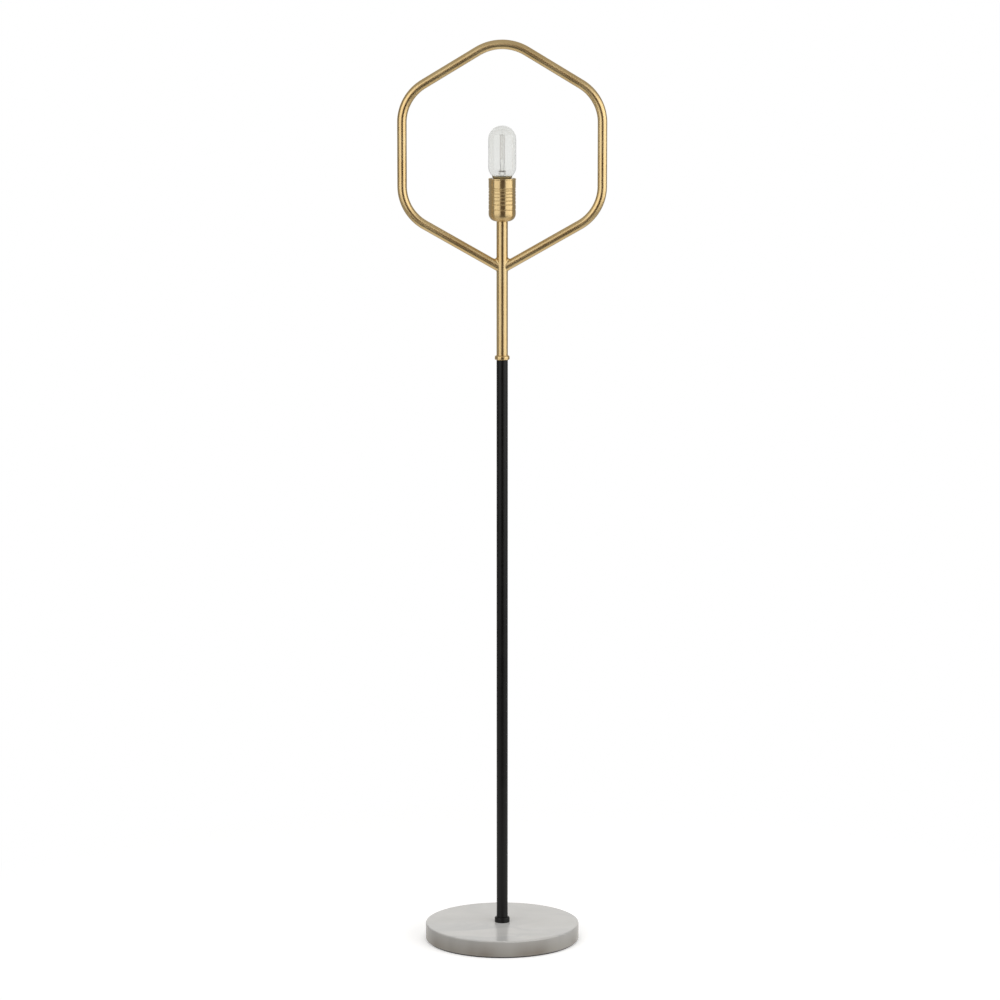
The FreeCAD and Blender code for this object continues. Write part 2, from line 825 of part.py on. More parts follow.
def bracket_screws():
    height = INSULATOR_FOOT + " - bracket_thickness - screw_head_thickness"
    shank = "bracket_thickness + screw_depth"
    pair = [
        screw(f"bracket_screw_{name}", shank, side + "bracket_screw_span / 2", "0", height)
        for name, side in (("right", ""), ("left", "-"))
    ]
    return group("bracket_screws", pair)


NEUTRAL_RIVET_X = "neutral_rivet_offset * sin(neutral_rivet_angle)"
NEUTRAL_RIVET_Y = "neutral_rivet_offset * cos(neutral_rivet_angle)"
LIVE_RIVET_X = "-live_rivet_offset * sin(live_rivet_angle)"
LIVE_RIVET_Y = "-live_rivet_offset * cos(live_rivet_angle)"


def socket_insulator():
    """A porcelain body: a deep well for the threaded shell over a thick floor with its fixing holes."""
    outside = CUP_BORE + " - insulator_gap"
    well = SHELL_OUTSIDE + " + shell_gap"
    body = revolved(
        "socket_insulator",
        [
            ("0", "0"),
            (outside, "0"),
            (outside, "insulator_height", "insulator_chamfer"),
            (well + " + insulator_chamfer", "insulator_height"),
            (well, "insulator_height - insulator_chamfer"),
            (well, "insulator_floor"),
            ("0", "insulator_floor"),
        ],
    )
    rivet_holes = new_sketch(body, "XY_Plane", "rivet_holes")
    hole = "rivet_diameter / 2 + rivet_gap"
    circle(rivet_holes, hole, LIVE_RIVET_X, LIVE_RIVET_Y)
    circle(rivet_holes, hole, NEUTRAL_RIVET_X, NEUTRAL_RIVET_Y)
    pocket(body, rivet_holes, "insulator_floor", forward=True)
    screw_holes = new_sketch(body, "XY_Plane", "strap_screw_holes")
    for side in ("", "-"):
        circle(screw_holes, "screw_diameter / 2 + screw_gap", side + "bracket_screw_span / 2")
    pocket(body, screw_holes, "screw_depth + 2 * screw_gap", forward=True)
    terminal_holes = new_sketch(body, "XY_Plane", "terminal_screw_holes")
    for side in ("", "-"):
        circle(terminal_holes, "screw_diameter / 2 + screw_gap", "0", side + "terminal_offset")
    pocket(body, terminal_holes, "terminal_screw_depth + 2 * screw_gap", forward=True)
    stand(body, INSULATOR_FOOT)
    return body


def thread_ridge(body, name, root, crest, height):
    """A helical ridge round the upright axis. Its section narrows from root to crest, and its middle
    starts at this height on the +X side."""
    section = new_sketch(body, "XZ_Plane", name + "_section")
    narrow = "thread_crest / 2"
    depth = f"abs(({crest}) - ({root}))"
    wide = f"({narrow} + {depth})"
    outline(
        section,
        [
            (root, f"{height} - {wide}"),
            (crest, f"{height} - {narrow}"),
            (crest, f"{height} + {narrow}"),
            (root, f"{height} + {wide}"),
        ],
    )
    ridge = body.newObject("PartDesign::AdditiveHelix", name + "_ridge")
    ridge.Profile = section
    ridge.ReferenceAxis = (section, ["V_Axis"])
    ridge.Mode = "pitch-turns-angle"
    ridge.Angle = 0
    bind(ridge, "Pitch", "thread_pitch")
    bind(ridge, "Turns", "thread_turns")
    return ridge


def screw_shell():
    """A brass shell with a flat floor ring. Its ridge lies half a pitch below the cap's."""
    floor_hole = "shell_floor_hole / 2"
    body = revolved(
        "screw_shell",
        [
            (floor_hole, "0"),
            (SHELL_OUTSIDE, "0"),
            (SHELL_OUTSIDE, "shell_height"),
            (SHELL_BORE, "shell_height"),
            (SHELL_BORE, "shell_wall"),
            (floor_hole, "shell_wall"),
        ],
    )
    rivet_hole = new_sketch(body, "XY_Plane", "shell_rivet_hole")
    circle(rivet_hole, "rivet_diameter / 2 + rivet_gap", NEUTRAL_RIVET_X, NEUTRAL_RIVET_Y)
    pocket(body, rivet_hole, "shell_wall", forward=True)
    start = "contact_height + thread_start - thread_pitch / 2"
    thread_ridge(body, "shell_thread", SHELL_BORE + " + thread_root", SHELL_CREST, start)
    stand(body, SHELL_FOOT)
    return body


def centre_contact():
    """A spring strip riveted to the floor, whose raised tip meets the bulb's button."""
    body = new_body("centre_contact")
    edge = new_sketch(body, "YZ_Plane", "contact_edge")
    under = "contact_height - contact_thickness"
    rise_end = "contact_foot + contact_rise"
    tip = rise_end + " + contact_tip"
    lean = "contact_thickness / 2"
    outline(
        edge,
        [
            ("0", "0"),
            ("contact_foot", "0"),
            (rise_end, under),
            (tip, under),
            (tip, "contact_height"),
            (f"{rise_end} - {lean}", "contact_height"),
            (f"contact_foot - {lean}", "contact_thickness"),
            ("0", "contact_thickness"),
        ],
    )
    pad(body, edge, "contact_width", middle=True)
    hole = new_sketch(body, "XY_Plane", "contact_rivet_hole")
    circle(hole, "rivet_diameter / 2 + rivet_gap", "0", "contact_foot / 2")
    pocket(body, hole, "contact_thickness", forward=True)
    far = "(live_rivet_offset + contact_foot / 2)"
    body.Placement = FreeCAD.Placement(FreeCAD.Vector(), FreeCAD.Rotation(-value("live_rivet_angle"), 0, 0))
    stand(body, SHELL_FOOT, f"-{far} * sin(live_rivet_angle)", f"-{far} * cos(live_rivet_angle)")
    return body


def rivet(name, x, y, clamped):
    """A rivet through plate, porcelain floor and the sheet clamped on top of it."""
    head = "rivet_head_diameter / 2"
    shank = "rivet_diameter / 2"
    grip = f"rivet_head_thickness + terminal_thickness + insulator_floor + {clamped}"
    body = revolved(
        name,
        [
            ("0", "0"),
            (head, "0"),
            (head, "rivet_head_thickness"),
            (shank, "rivet_head_thickness"),
            (shank, grip),
            (head, grip),
            (head, grip + " + rivet_head_thickness"),
            ("0", grip + " + rivet_head_thickness"),
        ],
    )
    stand(body, INSULATOR_FOOT + " - terminal_thickness - rivet_head_thickness", x, y)
    return body


def contact_rivets():
    pair = [
        rivet("live_rivet", LIVE_RIVET_X, LIVE_RIVET_Y, "contact_thickness"),
        rivet("neutral_rivet", NEUTRAL_RIVET_X, NEUTRAL_RIVET_Y, "shell_wall"),
    ]
    return group("contact_rivets", pair)


def terminal_plate(name, side, rivet_x, rivet_y):
    """A flat plate under the porcelain, from its screw to its rivet."""
    across = f"({rivet_x})"
    along = f"({rivet_y} - ({side}terminal_offset))"
    reach = f"sqrt({across} ^ 2 + {along} ^ 2)"
    turn = math.degrees(math.atan2(value(along), value(across)))
    body = new_body(name)
    face = new_sketch(body, "XY_Plane", name + "_face")
    half = "terminal_width / 2"
    far = f"{reach} + terminal_margin"
    corner = "terminal_corner"
    outline(
        face,
        [
            ("-terminal_margin", "-" + half, corner),
            (far, "-" + half, corner),
            (far, half, corner),
            ("-terminal_margin", half, corner),
        ],
    )
    circle(face, "screw_diameter / 2 + screw_gap")
    circle(face, "rivet_diameter / 2 + rivet_gap", reach)
    pad(body, face, "terminal_thickness")
    body.Placement = FreeCAD.Placement(FreeCAD.Vector(), FreeCAD.Rotation(turn, 0, 0))
    stand(body, INSULATOR_FOOT + " - terminal_thickness", y=side + "terminal_offset")
    return body


def terminal_plates():
    """The live plate runs in to the spring strip's rivet, the neutral one out to the shell's floor ring."""
    pair = [
        terminal_plate("live_plate", "-", LIVE_RIVET_X, LIVE_RIVET_Y),
        terminal_plate("neutral_plate", "", NEUTRAL_RIVET_X, NEUTRAL_RIVET_Y),
    ]
    return group("terminal_plates", pair)


def terminal_screws():
    """Each head stands off its plate by the conductor that it clamps."""
    clamp = "conductor_diameter + 2 * conductor_gap"
    height = f"{INSULATOR_FOOT} - terminal_thickness - ({clamp}) - screw_head_thickness"
    shank = f"{clamp} + terminal_thickness + terminal_screw_depth"
    pair = [
        screw(f"terminal_screw_{name}", shank, "0", side + "terminal_offset", height)
        for name, side in (("neutral", ""), ("live", "-"))
    ]
    return group("terminal_screws", pair)


# ---------------------------------------------------------------- wiring
LEAD_RUN = "(base_diameter / 2 - inlet_setback - inlet_length)"
LEAD_TOP = BRACKET_FOOT + " + bracket_thickness + bracket_boss_height - lead_top_gap"


def internal_lead():
    """The round lead: forward along the slot, up into the rod, and straight up to the lampholder. Its own
    Y axis points forward, so that its route has positive sizes."""
    body = new_body("internal_lead")
    section = new_sketch(body, "XZ_Plane", "lead_section")
    circle(section, "lead_diameter / 2")
    route = new_sketch(body, "YZ_Plane", "lead_route")
    rise = f"{LEAD_TOP} - ({INLET_AXIS})"
    outline(route, [("0", "0"), (LEAD_RUN, "0", "lead_bend_radius"), (LEAD_RUN, rise)], closed=False)
    pipe(body, section, route)
    body.Placement = FreeCAD.Placement(FreeCAD.Vector(), FreeCAD.Rotation(180, 0, 0))
    stand(body, INLET_AXIS, y=LEAD_RUN)
    return body


def conductor(name, turn, side):
    """One core: straight up out of the lead, then outward to its terminal screw."""
    body = new_body(name)
    section = new_sketch(body, "XY_Plane", name + "_section")
    circle(section, "conductor_diameter / 2")
    route = new_sketch(body, "YZ_Plane", name + "_route")
    clamp = f"{INSULATOR_FOOT} - terminal_thickness - conductor_gap - conductor_diameter / 2"
    rise = f"{clamp} - ({LEAD_TOP})"
    run = "terminal_offset - screw_diameter / 2 - conductor_gap - conductor_spacing / 2"
    outline(route, [("0", "0"), ("0", rise, "conductor_bend_radius"), (run, rise)], closed=False)
    pipe(body, section, route)
    body.Placement = FreeCAD.Placement(FreeCAD.Vector(), FreeCAD.Rotation(turn, 0, 0))
    stand(body, LEAD_TOP, y=side + "conductor_spacing / 2")
    return body


def lead_conductors():
    pair = [conductor("neutral_conductor", 0, ""), conductor("live_conductor", 180, "-")]
    return group("lead_conductors", pair)


# ---------------------------------------------------------------- bulb
def bulb_contact():
    edge = "button_diameter / 2"
    top = "button_thickness"
    button = revolved("bulb_contact", [("0", "0"), (edge, "0", "button_edge_radius"), (edge, top), ("0", top)])
    stand(button, BULB_TIP)
    return button


def bulb_insulator():
    """Black glass between the button and the cap, with a hole for the centre wire."""
    hole = "seal_hole / 2"
    wide = CAP_BORE + " - seal_gap"
    corners = [
        (hole, "button_thickness"),
        ("seal_foot_diameter / 2", "button_thickness"),
        (wide, "cap_foot"),
        (wide, "seal_height"),
        (hole, "seal_height"),
    ]
    seal = revolved("bulb_insulator", corners)
    stand(seal, BULB_TIP)
    return seal


def bulb_cap():
    """A thin threaded cap with a flared rim."""
    body = revolved(
        "bulb_cap",
        [
            (CAP_BORE, "cap_foot"),
            (CAP_ROOT, "cap_foot"),
            (CAP_ROOT, "cap_neck_height"),
            (CAP_ROOT + " + cap_rim_flare", "cap_rim_height"),
            (CAP_BORE + " + cap_rim_flare", "cap_rim_height"),
            (CAP_BORE, "cap_neck_height"),
        ],
    )
    thread_ridge(body, "cap_thread", CAP_ROOT + " - thread_root", CAP_CREST, "thread_start")
    stand(body, BULB_TIP)
    return body


def bulb_cement():
    inside = "neck_diameter / 2 + cement_gap"
    cement = tube("bulb_cement", CAP_BORE + " - cement_gap", inside, "cement_top - cement_foot")
    stand(cement, BULB_TIP + " + cement_foot")
    return cement


def bulb_glass():
    """A blown tubular envelope of even wall, from the domed top to the neck."""
    outside = "bulb_diameter / 2"
    neck = "neck_diameter / 2"
    wall = "glass_wall"
    body = revolved(
        "bulb_glass",
        [
            ("0", "bulb_length"),
            (outside, "bulb_length", "dome_radius"),
            (outside, "shoulder_height", "shoulder_radius"),
            (neck, "neck_top", "neck_bend_radius"),
            (neck, "neck_foot"),
            (f"{neck} - {wall}", "neck_foot"),
            (f"{neck} - {wall}", "neck_top + glass_wall / 2", "neck_bend_radius + glass_wall"),
            (f"{outside} - {wall}", "shoulder_height + glass_wall / 2", "shoulder_radius - glass_wall"),
            (f"{outside} - {wall}", "bulb_length - glass_wall", "dome_radius - glass_wall"),
            ("0", "bulb_length - glass_wall"),
        ],
    )
    stand(body, BULB_TIP)
    return body


def bulb_stem_mount():
    """The glass foot: a flare at the neck, a tube, a flat press with the wires in it, and a centre rod."""
    flare = "neck_diameter / 2 - glass_wall - seal_gap"
    outside = "mount_diameter / 2"
    rod_radius = "arbor_diameter / 2"
    wall = "mount_wall"
    body = revolved(
        "bulb_stem_mount",
        [
            (flare, "neck_foot"),
            (outside, "flare_top", "flare_bend_radius"),
            (outside, "mount_top"),
            (rod_radius, "mount_top"),
            (rod_radius, "arbor_top"),
            ("0", "arbor_top"),
            ("0", "press_foot"),
            (f"{outside} - {wall}", "press_foot"),
            (f"{outside} - {wall}", "flare_top", "flare_bend_radius"),
            (f"{flare} - {wall}", "neck_foot"),
        ],
    )
    press = new_sketch(body, "XY_Plane", "press_section")
    bind(press, ".AttachmentOffset.Base.z", "press_foot")
    across = "press_width / 2"
    deep = "press_depth / 2"
    outline(
        press,
        [
            ("-" + across, "-" + deep, "press_corner"),
            (across, "-" + deep, "press_corner"),
            (across, deep, "press_corner"),
            ("-" + across, deep, "press_corner"),
        ],
    )
    pad(body, press, "press_height")
    channels = new_sketch(body, "XY_Plane", "wire_channels")
    for side in ("", "-"):
        radius = "lead_wire_diameter / 2 + lead_wire_gap"
        circle(channels, radius, side + "lead_wire_offset")
    pocket(body, channels, "press_foot + press_height", forward=True)
    stand(body, BULB_TIP)
    return body


def bulb_lead_wires():
    """One wire rises from the button through the seal, the other from the cap, and both run through the
    press to the filament's ends."""
    offset = value("lead_wire_offset")
    radius = value("lead_wire_diameter / 2")
    bend_radius = value("lead_wire_bend_radius")
    straight = value("flare_top")
    under_glass = value("(seal_height + neck_foot) / 2")
    top = value("filament_foot - filament_diameter / 2 - lead_wire_gap")
    spread = value("filament_radius")
    above_press = value("press_foot + press_height") + bend_radius
    button = value("button_thickness + lead_wire_gap")
    cap_side = value(CAP_BORE + " - seal_gap")
    centre_wire = [
        (0, button),
        (0, under_glass),
        (offset, straight),
        (offset, above_press),
        (spread, top),
    ]
    side_wire = [
        (-cap_side, under_glass),
        (-offset, under_glass),
        (-offset, above_press),
        (-spread, top),
    ]
    wires = [
        swept_wire([FreeCAD.Vector(x, 0, z) for x, z in points], bend_radius, radius)
        for points in (centre_wire, side_wire)
    ]
    return shaped("bulb_lead_wires", Part.makeCompound(wires), BULB_TIP)


def strand_place(strand, height):
    """A strand's corner. The strands stand on a half circle round the centre rod, from +X to -X."""
    angle = math.pi * strand / (FILAMENT_STRANDS - 1)
    radius = value("filament_radius")
    return FreeCAD.Vector(radius * math.cos(angle), radius * math.sin(angle), height)


def bulb_filament():
    """One wire that climbs and falls in vertical strands."""
    foot = value("filament_foot")
    top = value("filament_top")
    points = []
    for strand in range(FILAMENT_STRANDS):
        ends = (foot, top) if strand % 2 == 0 else (top, foot)
        points += [strand_place(strand, height) for height in ends]
    wire = swept_wire(points, value("filament_bend_radius"), value("filament_diameter / 2"))
    return shaped("bulb_filament", wire, BULB_TIP)


def bulb_filament_supports():
    """A fine hook from the centre rod to each turn of the filament, below an upper turn, above a lower."""
    hook_radius = value("hook_diameter / 2")
    stand_off = value("filament_diameter / 2 + hook_gap") + hook_radius
    start = value("arbor_diameter / 2 - hook_gap")
    hooks = []
    for turn in range(FILAMENT_STRANDS - 1):
        upper = turn % 2 == 0
        height = value("filament_top") - stand_off if upper else value("filament_foot") + stand_off
        middle = (strand_place(turn, height) + strand_place(turn + 1, height)) / 2
        outward = FreeCAD.Vector(middle.x, middle.y, 0).normalize()
        length = math.hypot(middle.x, middle.y) + value("hook_overhang") - start
        root = outward * start + FreeCAD.Vector(0, 0, height)
        hooks.append(Part.makeCylinder(hook_radius, length, root, outward))
    rod_clear = Part.makeCylinder(value("arbor_diameter / 2"), value("arbor_top"))
    hooks = [hook.cut(rod_clear) for hook in hooks]
    return shaped("bulb_filament_supports", Part.makeCompound(hooks), BULB_TIP)


# ---------------------------------------------------------------- the whole lamp
def build():
    keep(foot_pad())
    keep(marble_base())
    keep(cord_grommet())
    keep(base_washer())
    keep(base_lock_washer())
    keep(base_locknut())
    keep(rod("base_rod", ROD_FOOT, f"{BASE_TOP} + rod_engagement - ({ROD_FOOT})"))
    pole_bore = "pole_diameter / 2 - pole_wall"
    stem_bore = "stem_diameter / 2 - stem_wall"
    keep(plug("pole_bottom_plug", pole_bore, BASE_TOP, True))
    keep(base_collar())
    keep(pole_tube())
    keep(plug("pole_top_plug", pole_bore, POLE_TOP + " - plug_length", False))
    keep(rod("coupling_nipple", POLE_TOP + " - rod_engagement", "ring_height + 2 * rod_engagement"))
    keep(joint_ring())
    keep(plug("stem_bottom_plug", stem_bore, STEM_FOOT, True))
    keep(stem_tube())
    keep(plug("stem_top_plug", stem_bore, STEM_TOP + " - plug_length", False))
    keep(hexagon_hoop())
    keep(weld_fillets())
    nipple_top = "cup_wall + cup_nut_thickness + bracket_thickness + bracket_boss_height"
    nipple_length = f"rod_engagement + {nipple_top} - lead_top_gap"
    keep(rod("socket_nipple", STEM_TOP + " - rod_engagement", nipple_length))
    keep(socket_cup())
    keep(socket_locknut())
    keep(socket_bracket())
    keep(bracket_screws())
    keep(socket_insulator())
    keep(screw_shell())
    keep(centre_contact())
    keep(contact_rivets())
    keep(terminal_plates())
    keep(terminal_screws())
    keep(internal_lead())
    keep(lead_conductors())
    keep(bulb_contact())
    keep(bulb_insulator())
    keep(bulb_cap())
    keep(bulb_cement())
    keep(bulb_glass())
    keep(bulb_stem_mount())
    keep(bulb_lead_wires())
    keep(bulb_filament())
    keep(bulb_filament_supports())
    doc.recompute()


def check():
    """Every object computed, and every sub-part a valid solid."""
    for thing in doc.Objects:
        if "Invalid" in thing.State or "Error" in thing.State:
            raise RuntimeError(f"{thing.Name} did not compute: {thing.State}")
    for piece in subparts:
        if piece.Shape.isNull() or not piece.Shape.isValid() or not piece.Shape.Solids:
            raise RuntimeError(f"{piece.Label} is not a valid solid")


def write():
    os.makedirs("parts", exist_ok=True)
    for piece in subparts:
        piece.Shape.exportStep(f"parts/{piece.Label}.step")
        box = piece.Shape.BoundBox
        print(
            f"{piece.Label}: {len(piece.Shape.Solids)} solid(s), {piece.Shape.Volume:.1f} mm3,"
            f" z {box.ZMin:.1f} to {box.ZMax:.1f}"
        )


build()
check()
write()
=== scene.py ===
# %% [markdown]
# # A floor lamp with a hexagon hoop
# A round marble base carries a black pole, and the pole carries a satin brass stem. One brass tube is bent
# to a hexagon round a bare tubular bulb, and both of its ends are joined to the stem. The solids come from
# the CAD model. This notebook models the hoop and the socket cup again, because their metal needs a finer
# form. Each piece gets its finish from the photograph where that shows the piece, and otherwise from the
# usual piece of its kind. How the real pieces were made isn't seen in the photograph, so it is a guess.

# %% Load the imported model
import json
import math

import bpy
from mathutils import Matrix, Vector


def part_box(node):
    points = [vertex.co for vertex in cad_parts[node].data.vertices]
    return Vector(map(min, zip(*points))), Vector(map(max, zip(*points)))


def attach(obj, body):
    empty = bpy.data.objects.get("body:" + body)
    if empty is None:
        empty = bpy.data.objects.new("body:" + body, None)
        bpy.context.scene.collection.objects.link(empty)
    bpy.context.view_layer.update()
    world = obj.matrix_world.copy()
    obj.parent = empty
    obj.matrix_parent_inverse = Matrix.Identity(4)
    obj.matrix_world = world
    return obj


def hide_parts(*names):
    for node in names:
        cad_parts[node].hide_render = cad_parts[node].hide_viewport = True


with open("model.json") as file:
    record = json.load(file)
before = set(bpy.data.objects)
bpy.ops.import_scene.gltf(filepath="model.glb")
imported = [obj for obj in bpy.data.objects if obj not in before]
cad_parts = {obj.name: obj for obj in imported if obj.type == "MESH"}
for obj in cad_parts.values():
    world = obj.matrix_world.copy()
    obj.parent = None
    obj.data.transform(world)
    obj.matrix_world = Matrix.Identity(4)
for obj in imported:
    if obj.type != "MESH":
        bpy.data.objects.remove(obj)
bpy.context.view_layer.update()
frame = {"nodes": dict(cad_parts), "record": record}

nodes = frame["nodes"]
MM = 0.001

# %% [markdown]
# ## The camera
# The photograph looks down on the lamp from well above its middle: the base shows as a wide ellipse, and
# even the rim of the socket cup, at chest height, is seen a little from above. A camera six metres away
# with a long lens gives that slow change of angle. The lamp stands a little left of the picture's middle,
# and the small sideways lens shift repeats that.

# %% Camera
CAMERA_PLACE = (0, -6.0, 1.624)
TIP_DOWN = math.radians(8.58)
FOCAL_MM = 137.03
SIDE_SHIFT = -0.00219

camera_data = bpy.data.cameras.new("camera")
camera = bpy.data.objects.new("camera", camera_data)
bpy.context.scene.collection.objects.link(camera)
camera.location = CAMERA_PLACE
camera.rotation_euler = (math.pi / 2 - TIP_DOWN, 0, 0)
camera_data.sensor_width = 36
camera_data.lens = FOCAL_MM
camera_data.shift_x = SIDE_SHIFT
bpy.context.scene.camera = camera
print("camera at", CAMERA_PLACE, "tipped down", round(math.degrees(TIP_DOWN), 2), "degrees")

# %% [markdown]
# ## Soft lights
# Polished metal has no look of its own: it shows the room. The photograph's tubes have two bright bands
# with a narrow dark line between them, as if it stood between two wide soft lights, one at each side of a
# dark camera position. The right one is the brighter and wider. A third soft light hangs overhead for the
# marble, above a cloth that hides it from the metal. The camera doesn't see the lights, not even through
# the bulb's glass, which would look like a lit bulb from behind. An area light's power is its brightness
# times its area times pi, so each light is given by its brightness, where 1 renders as white.

# %% Lights
LAMP_MIDDLE = Vector((0, 0, 0.9))


def softbox(name, azimuth, height, distance, size, brightness):
    """A soft light that faces the lamp. Its azimuth is counted from the camera's side, to the right."""
    data = bpy.data.lights.new(name, "AREA")
    data.shape = "RECTANGLE"
    data.size, data.size_y = size
    data.energy = brightness * math.pi * size[0] * size[1]
    light = bpy.data.objects.new(name, data)
    bpy.context.scene.collection.objects.link(light)
    turn = math.radians(azimuth)
    light.location = (distance * math.sin(turn), -distance * math.cos(turn), height)
    light.rotation_euler = (LAMP_MIDDLE - light.location).to_track_quat("-Z", "Y").to_euler()
    light.visible_camera = False
    light.visible_transmission = False
    print(name, "gives", round(data.energy), "W")
    return light


softbox("softbox_left", azimuth=-45, height=1.5, distance=2.6, size=(2.7, 2.8), brightness=1.15)
softbox("softbox_right", azimuth=62, height=1.3, distance=2.8, size=(3.8, 2.8), brightness=1.38)
overhead = softbox("softbox_top", azimuth=0, height=3.6, distance=0.3, size=(3.2, 3.2), brightness=1.25)
overhead.visible_glossy = False

# %% [markdown]
# ## Laying down nodes
# Every finish below is a small recipe of nodes. These helpers add one node at a time and join it to the
# ones before it, so that a recipe reads from the pattern to the surface. A pattern takes its place from the
# piece's own Object coordinates, so it stays put when the piece moves.

# %% Helpers for nodes
def add(tree, kind, inputs=None, **settings):
    """Add a node. An input is given a number, a colour or another node's output."""
    node = tree.nodes.new(kind)
    for key, given in settings.items():
        setattr(node, key, given)
    for key, given in (inputs or {}).items():
        if isinstance(given, bpy.types.NodeSocket):
            tree.links.new(given, node.inputs[key])
        else:
            node.inputs[key].default_value = given
    return node


def empty_tree(holder):
    """The node tree of a material or world, with nothing in it."""
    holder.use_nodes = True
    holder.node_tree.nodes.clear()
    return holder.node_tree


def object_place(tree, stretch=(1, 1, 1)):
    """The place on the piece in metres, stretched along its axes."""
    place = add(tree, "ShaderNodeTexCoord").outputs["Object"]
    return add(tree, "ShaderNodeMapping", {"Vector": place, "Scale": stretch}).outputs["Vector"]


def worked_out(tree, operation, *values):
    """A number worked out from one or two others."""
    return add(tree, "ShaderNodeMath", dict(enumerate(values)), operation=operation).outputs[0]


def one_axis(tree, vector, axis):
    """The X, Y or Z of a place or direction."""
    return add(tree, "ShaderNodeSeparateXYZ", {"Vector": vector}).outputs[axis]


def noise(tree, place, scale, detail=2.0, roughness=0.5, distortion=0.0):
    """A soft random pattern between 0 and 1, with about this many spots to the metre."""
    inputs = {
        "Vector": place,
        "Scale": scale,
        "Detail": detail,
        "Roughness": roughness,
        "Distortion": distortion,
    }
    return add(tree, "ShaderNodeTexNoise", inputs).outputs["Fac"]


def spread(tree, pattern, low, high, start=0.3, end=0.7):
    """Bring a pattern's middle part to the range from low to high."""
    inputs = {"Value": pattern, "From Min": start, "From Max": end, "To Min": low, "To Max": high}
    return add(tree, "ShaderNodeMapRange", inputs).outputs["Result"]


def tinted(tree, pattern, stops):
    """Turn a pattern into colours, from a list of (position, colour)."""
    ramp = add(tree, "ShaderNodeValToRGB", {"Fac": pattern})
    ends = ramp.color_ramp.elements
    while len(ends) < len(stops):
        ends.new(0.5)
    for end, (position, colour) in zip(ends, stops):
        end.position = position
        end.color = (*colour, 1)
    return ramp.outputs["Color"]


def bumped(tree, pattern, depth, strength=1.0):
    """A surface normal that follows the pattern, this many metres deep."""
    inputs = {"Height": pattern, "Distance": depth, "Strength": strength}
    return add(tree, "ShaderNodeBump", inputs).outputs["Normal"]


def mixed(tree, share, first, second):
    """A colour between two others."""
    inputs = {"Factor": share, 6: first, 7: second}
    return add(tree, "ShaderNodeMix", inputs, data_type="RGBA").outputs[2]


def surface(tree, shader):
    """Join a shader to the material's output."""
    add(tree, "ShaderNodeOutputMaterial", {"Surface": shader.outputs[0]})


# %% [markdown]
# ## Room, floor and background
# The background is white because its own colour is. The world is plain white for camera rays and for rays
# through glass. For reflections it is the room round the set: a white backdrop behind the lamp, dim walls at
# the sides, a paler ceiling, and a dark brown gap toward the camera, which the tubes show as a dark line.
# The floor is a sheet of white paper that ends a little way in front of the lamp. Beyond that a reflection
# meets the dark studio floor. In reflections the paper isn't lit but glows, with a painted pool of light
# that is brighter near the lamp.

# %% Room
PURE_WHITE = (1, 1, 1, 1)
WARM_WHITE = (1, 0.98, 0.95, 1)
GAP_BROWN = (0.09, 0.03, 0.002, 1)
WALL_GLOW = 0.24
CEILING_GLOW = 0.45


def glow(tree, kind, colour, strength):
    """A surface or room that shines with one colour."""
    return add(tree, kind, {"Color": colour, "Strength": strength}).outputs[0]


def seen_by_camera(tree):
    """1 for rays from the camera, before and after they pass through glass, and 0 for all other rays."""
    rays = add(tree, "ShaderNodeLightPath").outputs
    return worked_out(tree, "MAXIMUM", rays["Is Camera Ray"], rays["Is Transmission Ray"])


world = bpy.data.worlds.new("studio")
bpy.context.scene.world = world
tree = empty_tree(world)
way = add(tree, "ShaderNodeTexCoord").outputs["Generated"]
way_x, way_y, way_z = [one_axis(tree, way, axis) for axis in "XYZ"]
aside = worked_out(tree, "ABSOLUTE", way_x)
in_front = worked_out(tree, "MINIMUM", way_y, -0.001)
slant = worked_out(tree, "DIVIDE", aside, in_front)
toward_camera = spread(tree, slant, 0.0, 1.0, -0.5, -0.3)
not_high = spread(tree, way_z, 1.0, 0.0, 0.3, 0.55)
gap = worked_out(tree, "MULTIPLY", toward_camera, not_high)
ceiling = spread(tree, way_z, WALL_GLOW, CEILING_GLOW, 0.15, 0.8)
behind = spread(tree, way_y, 0.0, 1.0, 0.84, 0.95)
backdrop = worked_out(tree, "MULTIPLY", behind, not_high)
bright = add(tree, "ShaderNodeMix", {"Factor": backdrop, 2: ceiling, 3: 1.0}).outputs[0]
walls = glow(tree, "ShaderNodeBackground", WARM_WHITE, bright)
dark_gap = glow(tree, "ShaderNodeBackground", GAP_BROWN, 1.0)
seen_room = add(tree, "ShaderNodeMixShader", {"Fac": gap, 1: walls, 2: dark_gap}).outputs[0]
white = glow(tree, "ShaderNodeBackground", PURE_WHITE, 1.0)
choice = add(tree, "ShaderNodeMixShader", {"Fac": seen_by_camera(tree), 1: seen_room, 2: white})
add(tree, "ShaderNodeOutputWorld", {"Surface": choice.outputs[0]})
print("room: walls", WALL_GLOW, "ceiling", CEILING_GLOW, "backdrop 1.0")

# %% Floor
FLOOR_SIZE = 60
PAPER = (0.93, 0.93, 0.93, 1)
PAPER_GLOW = 0.28
PAPER_BOUNCE = (0.35, 0.35, 0.35, 1)

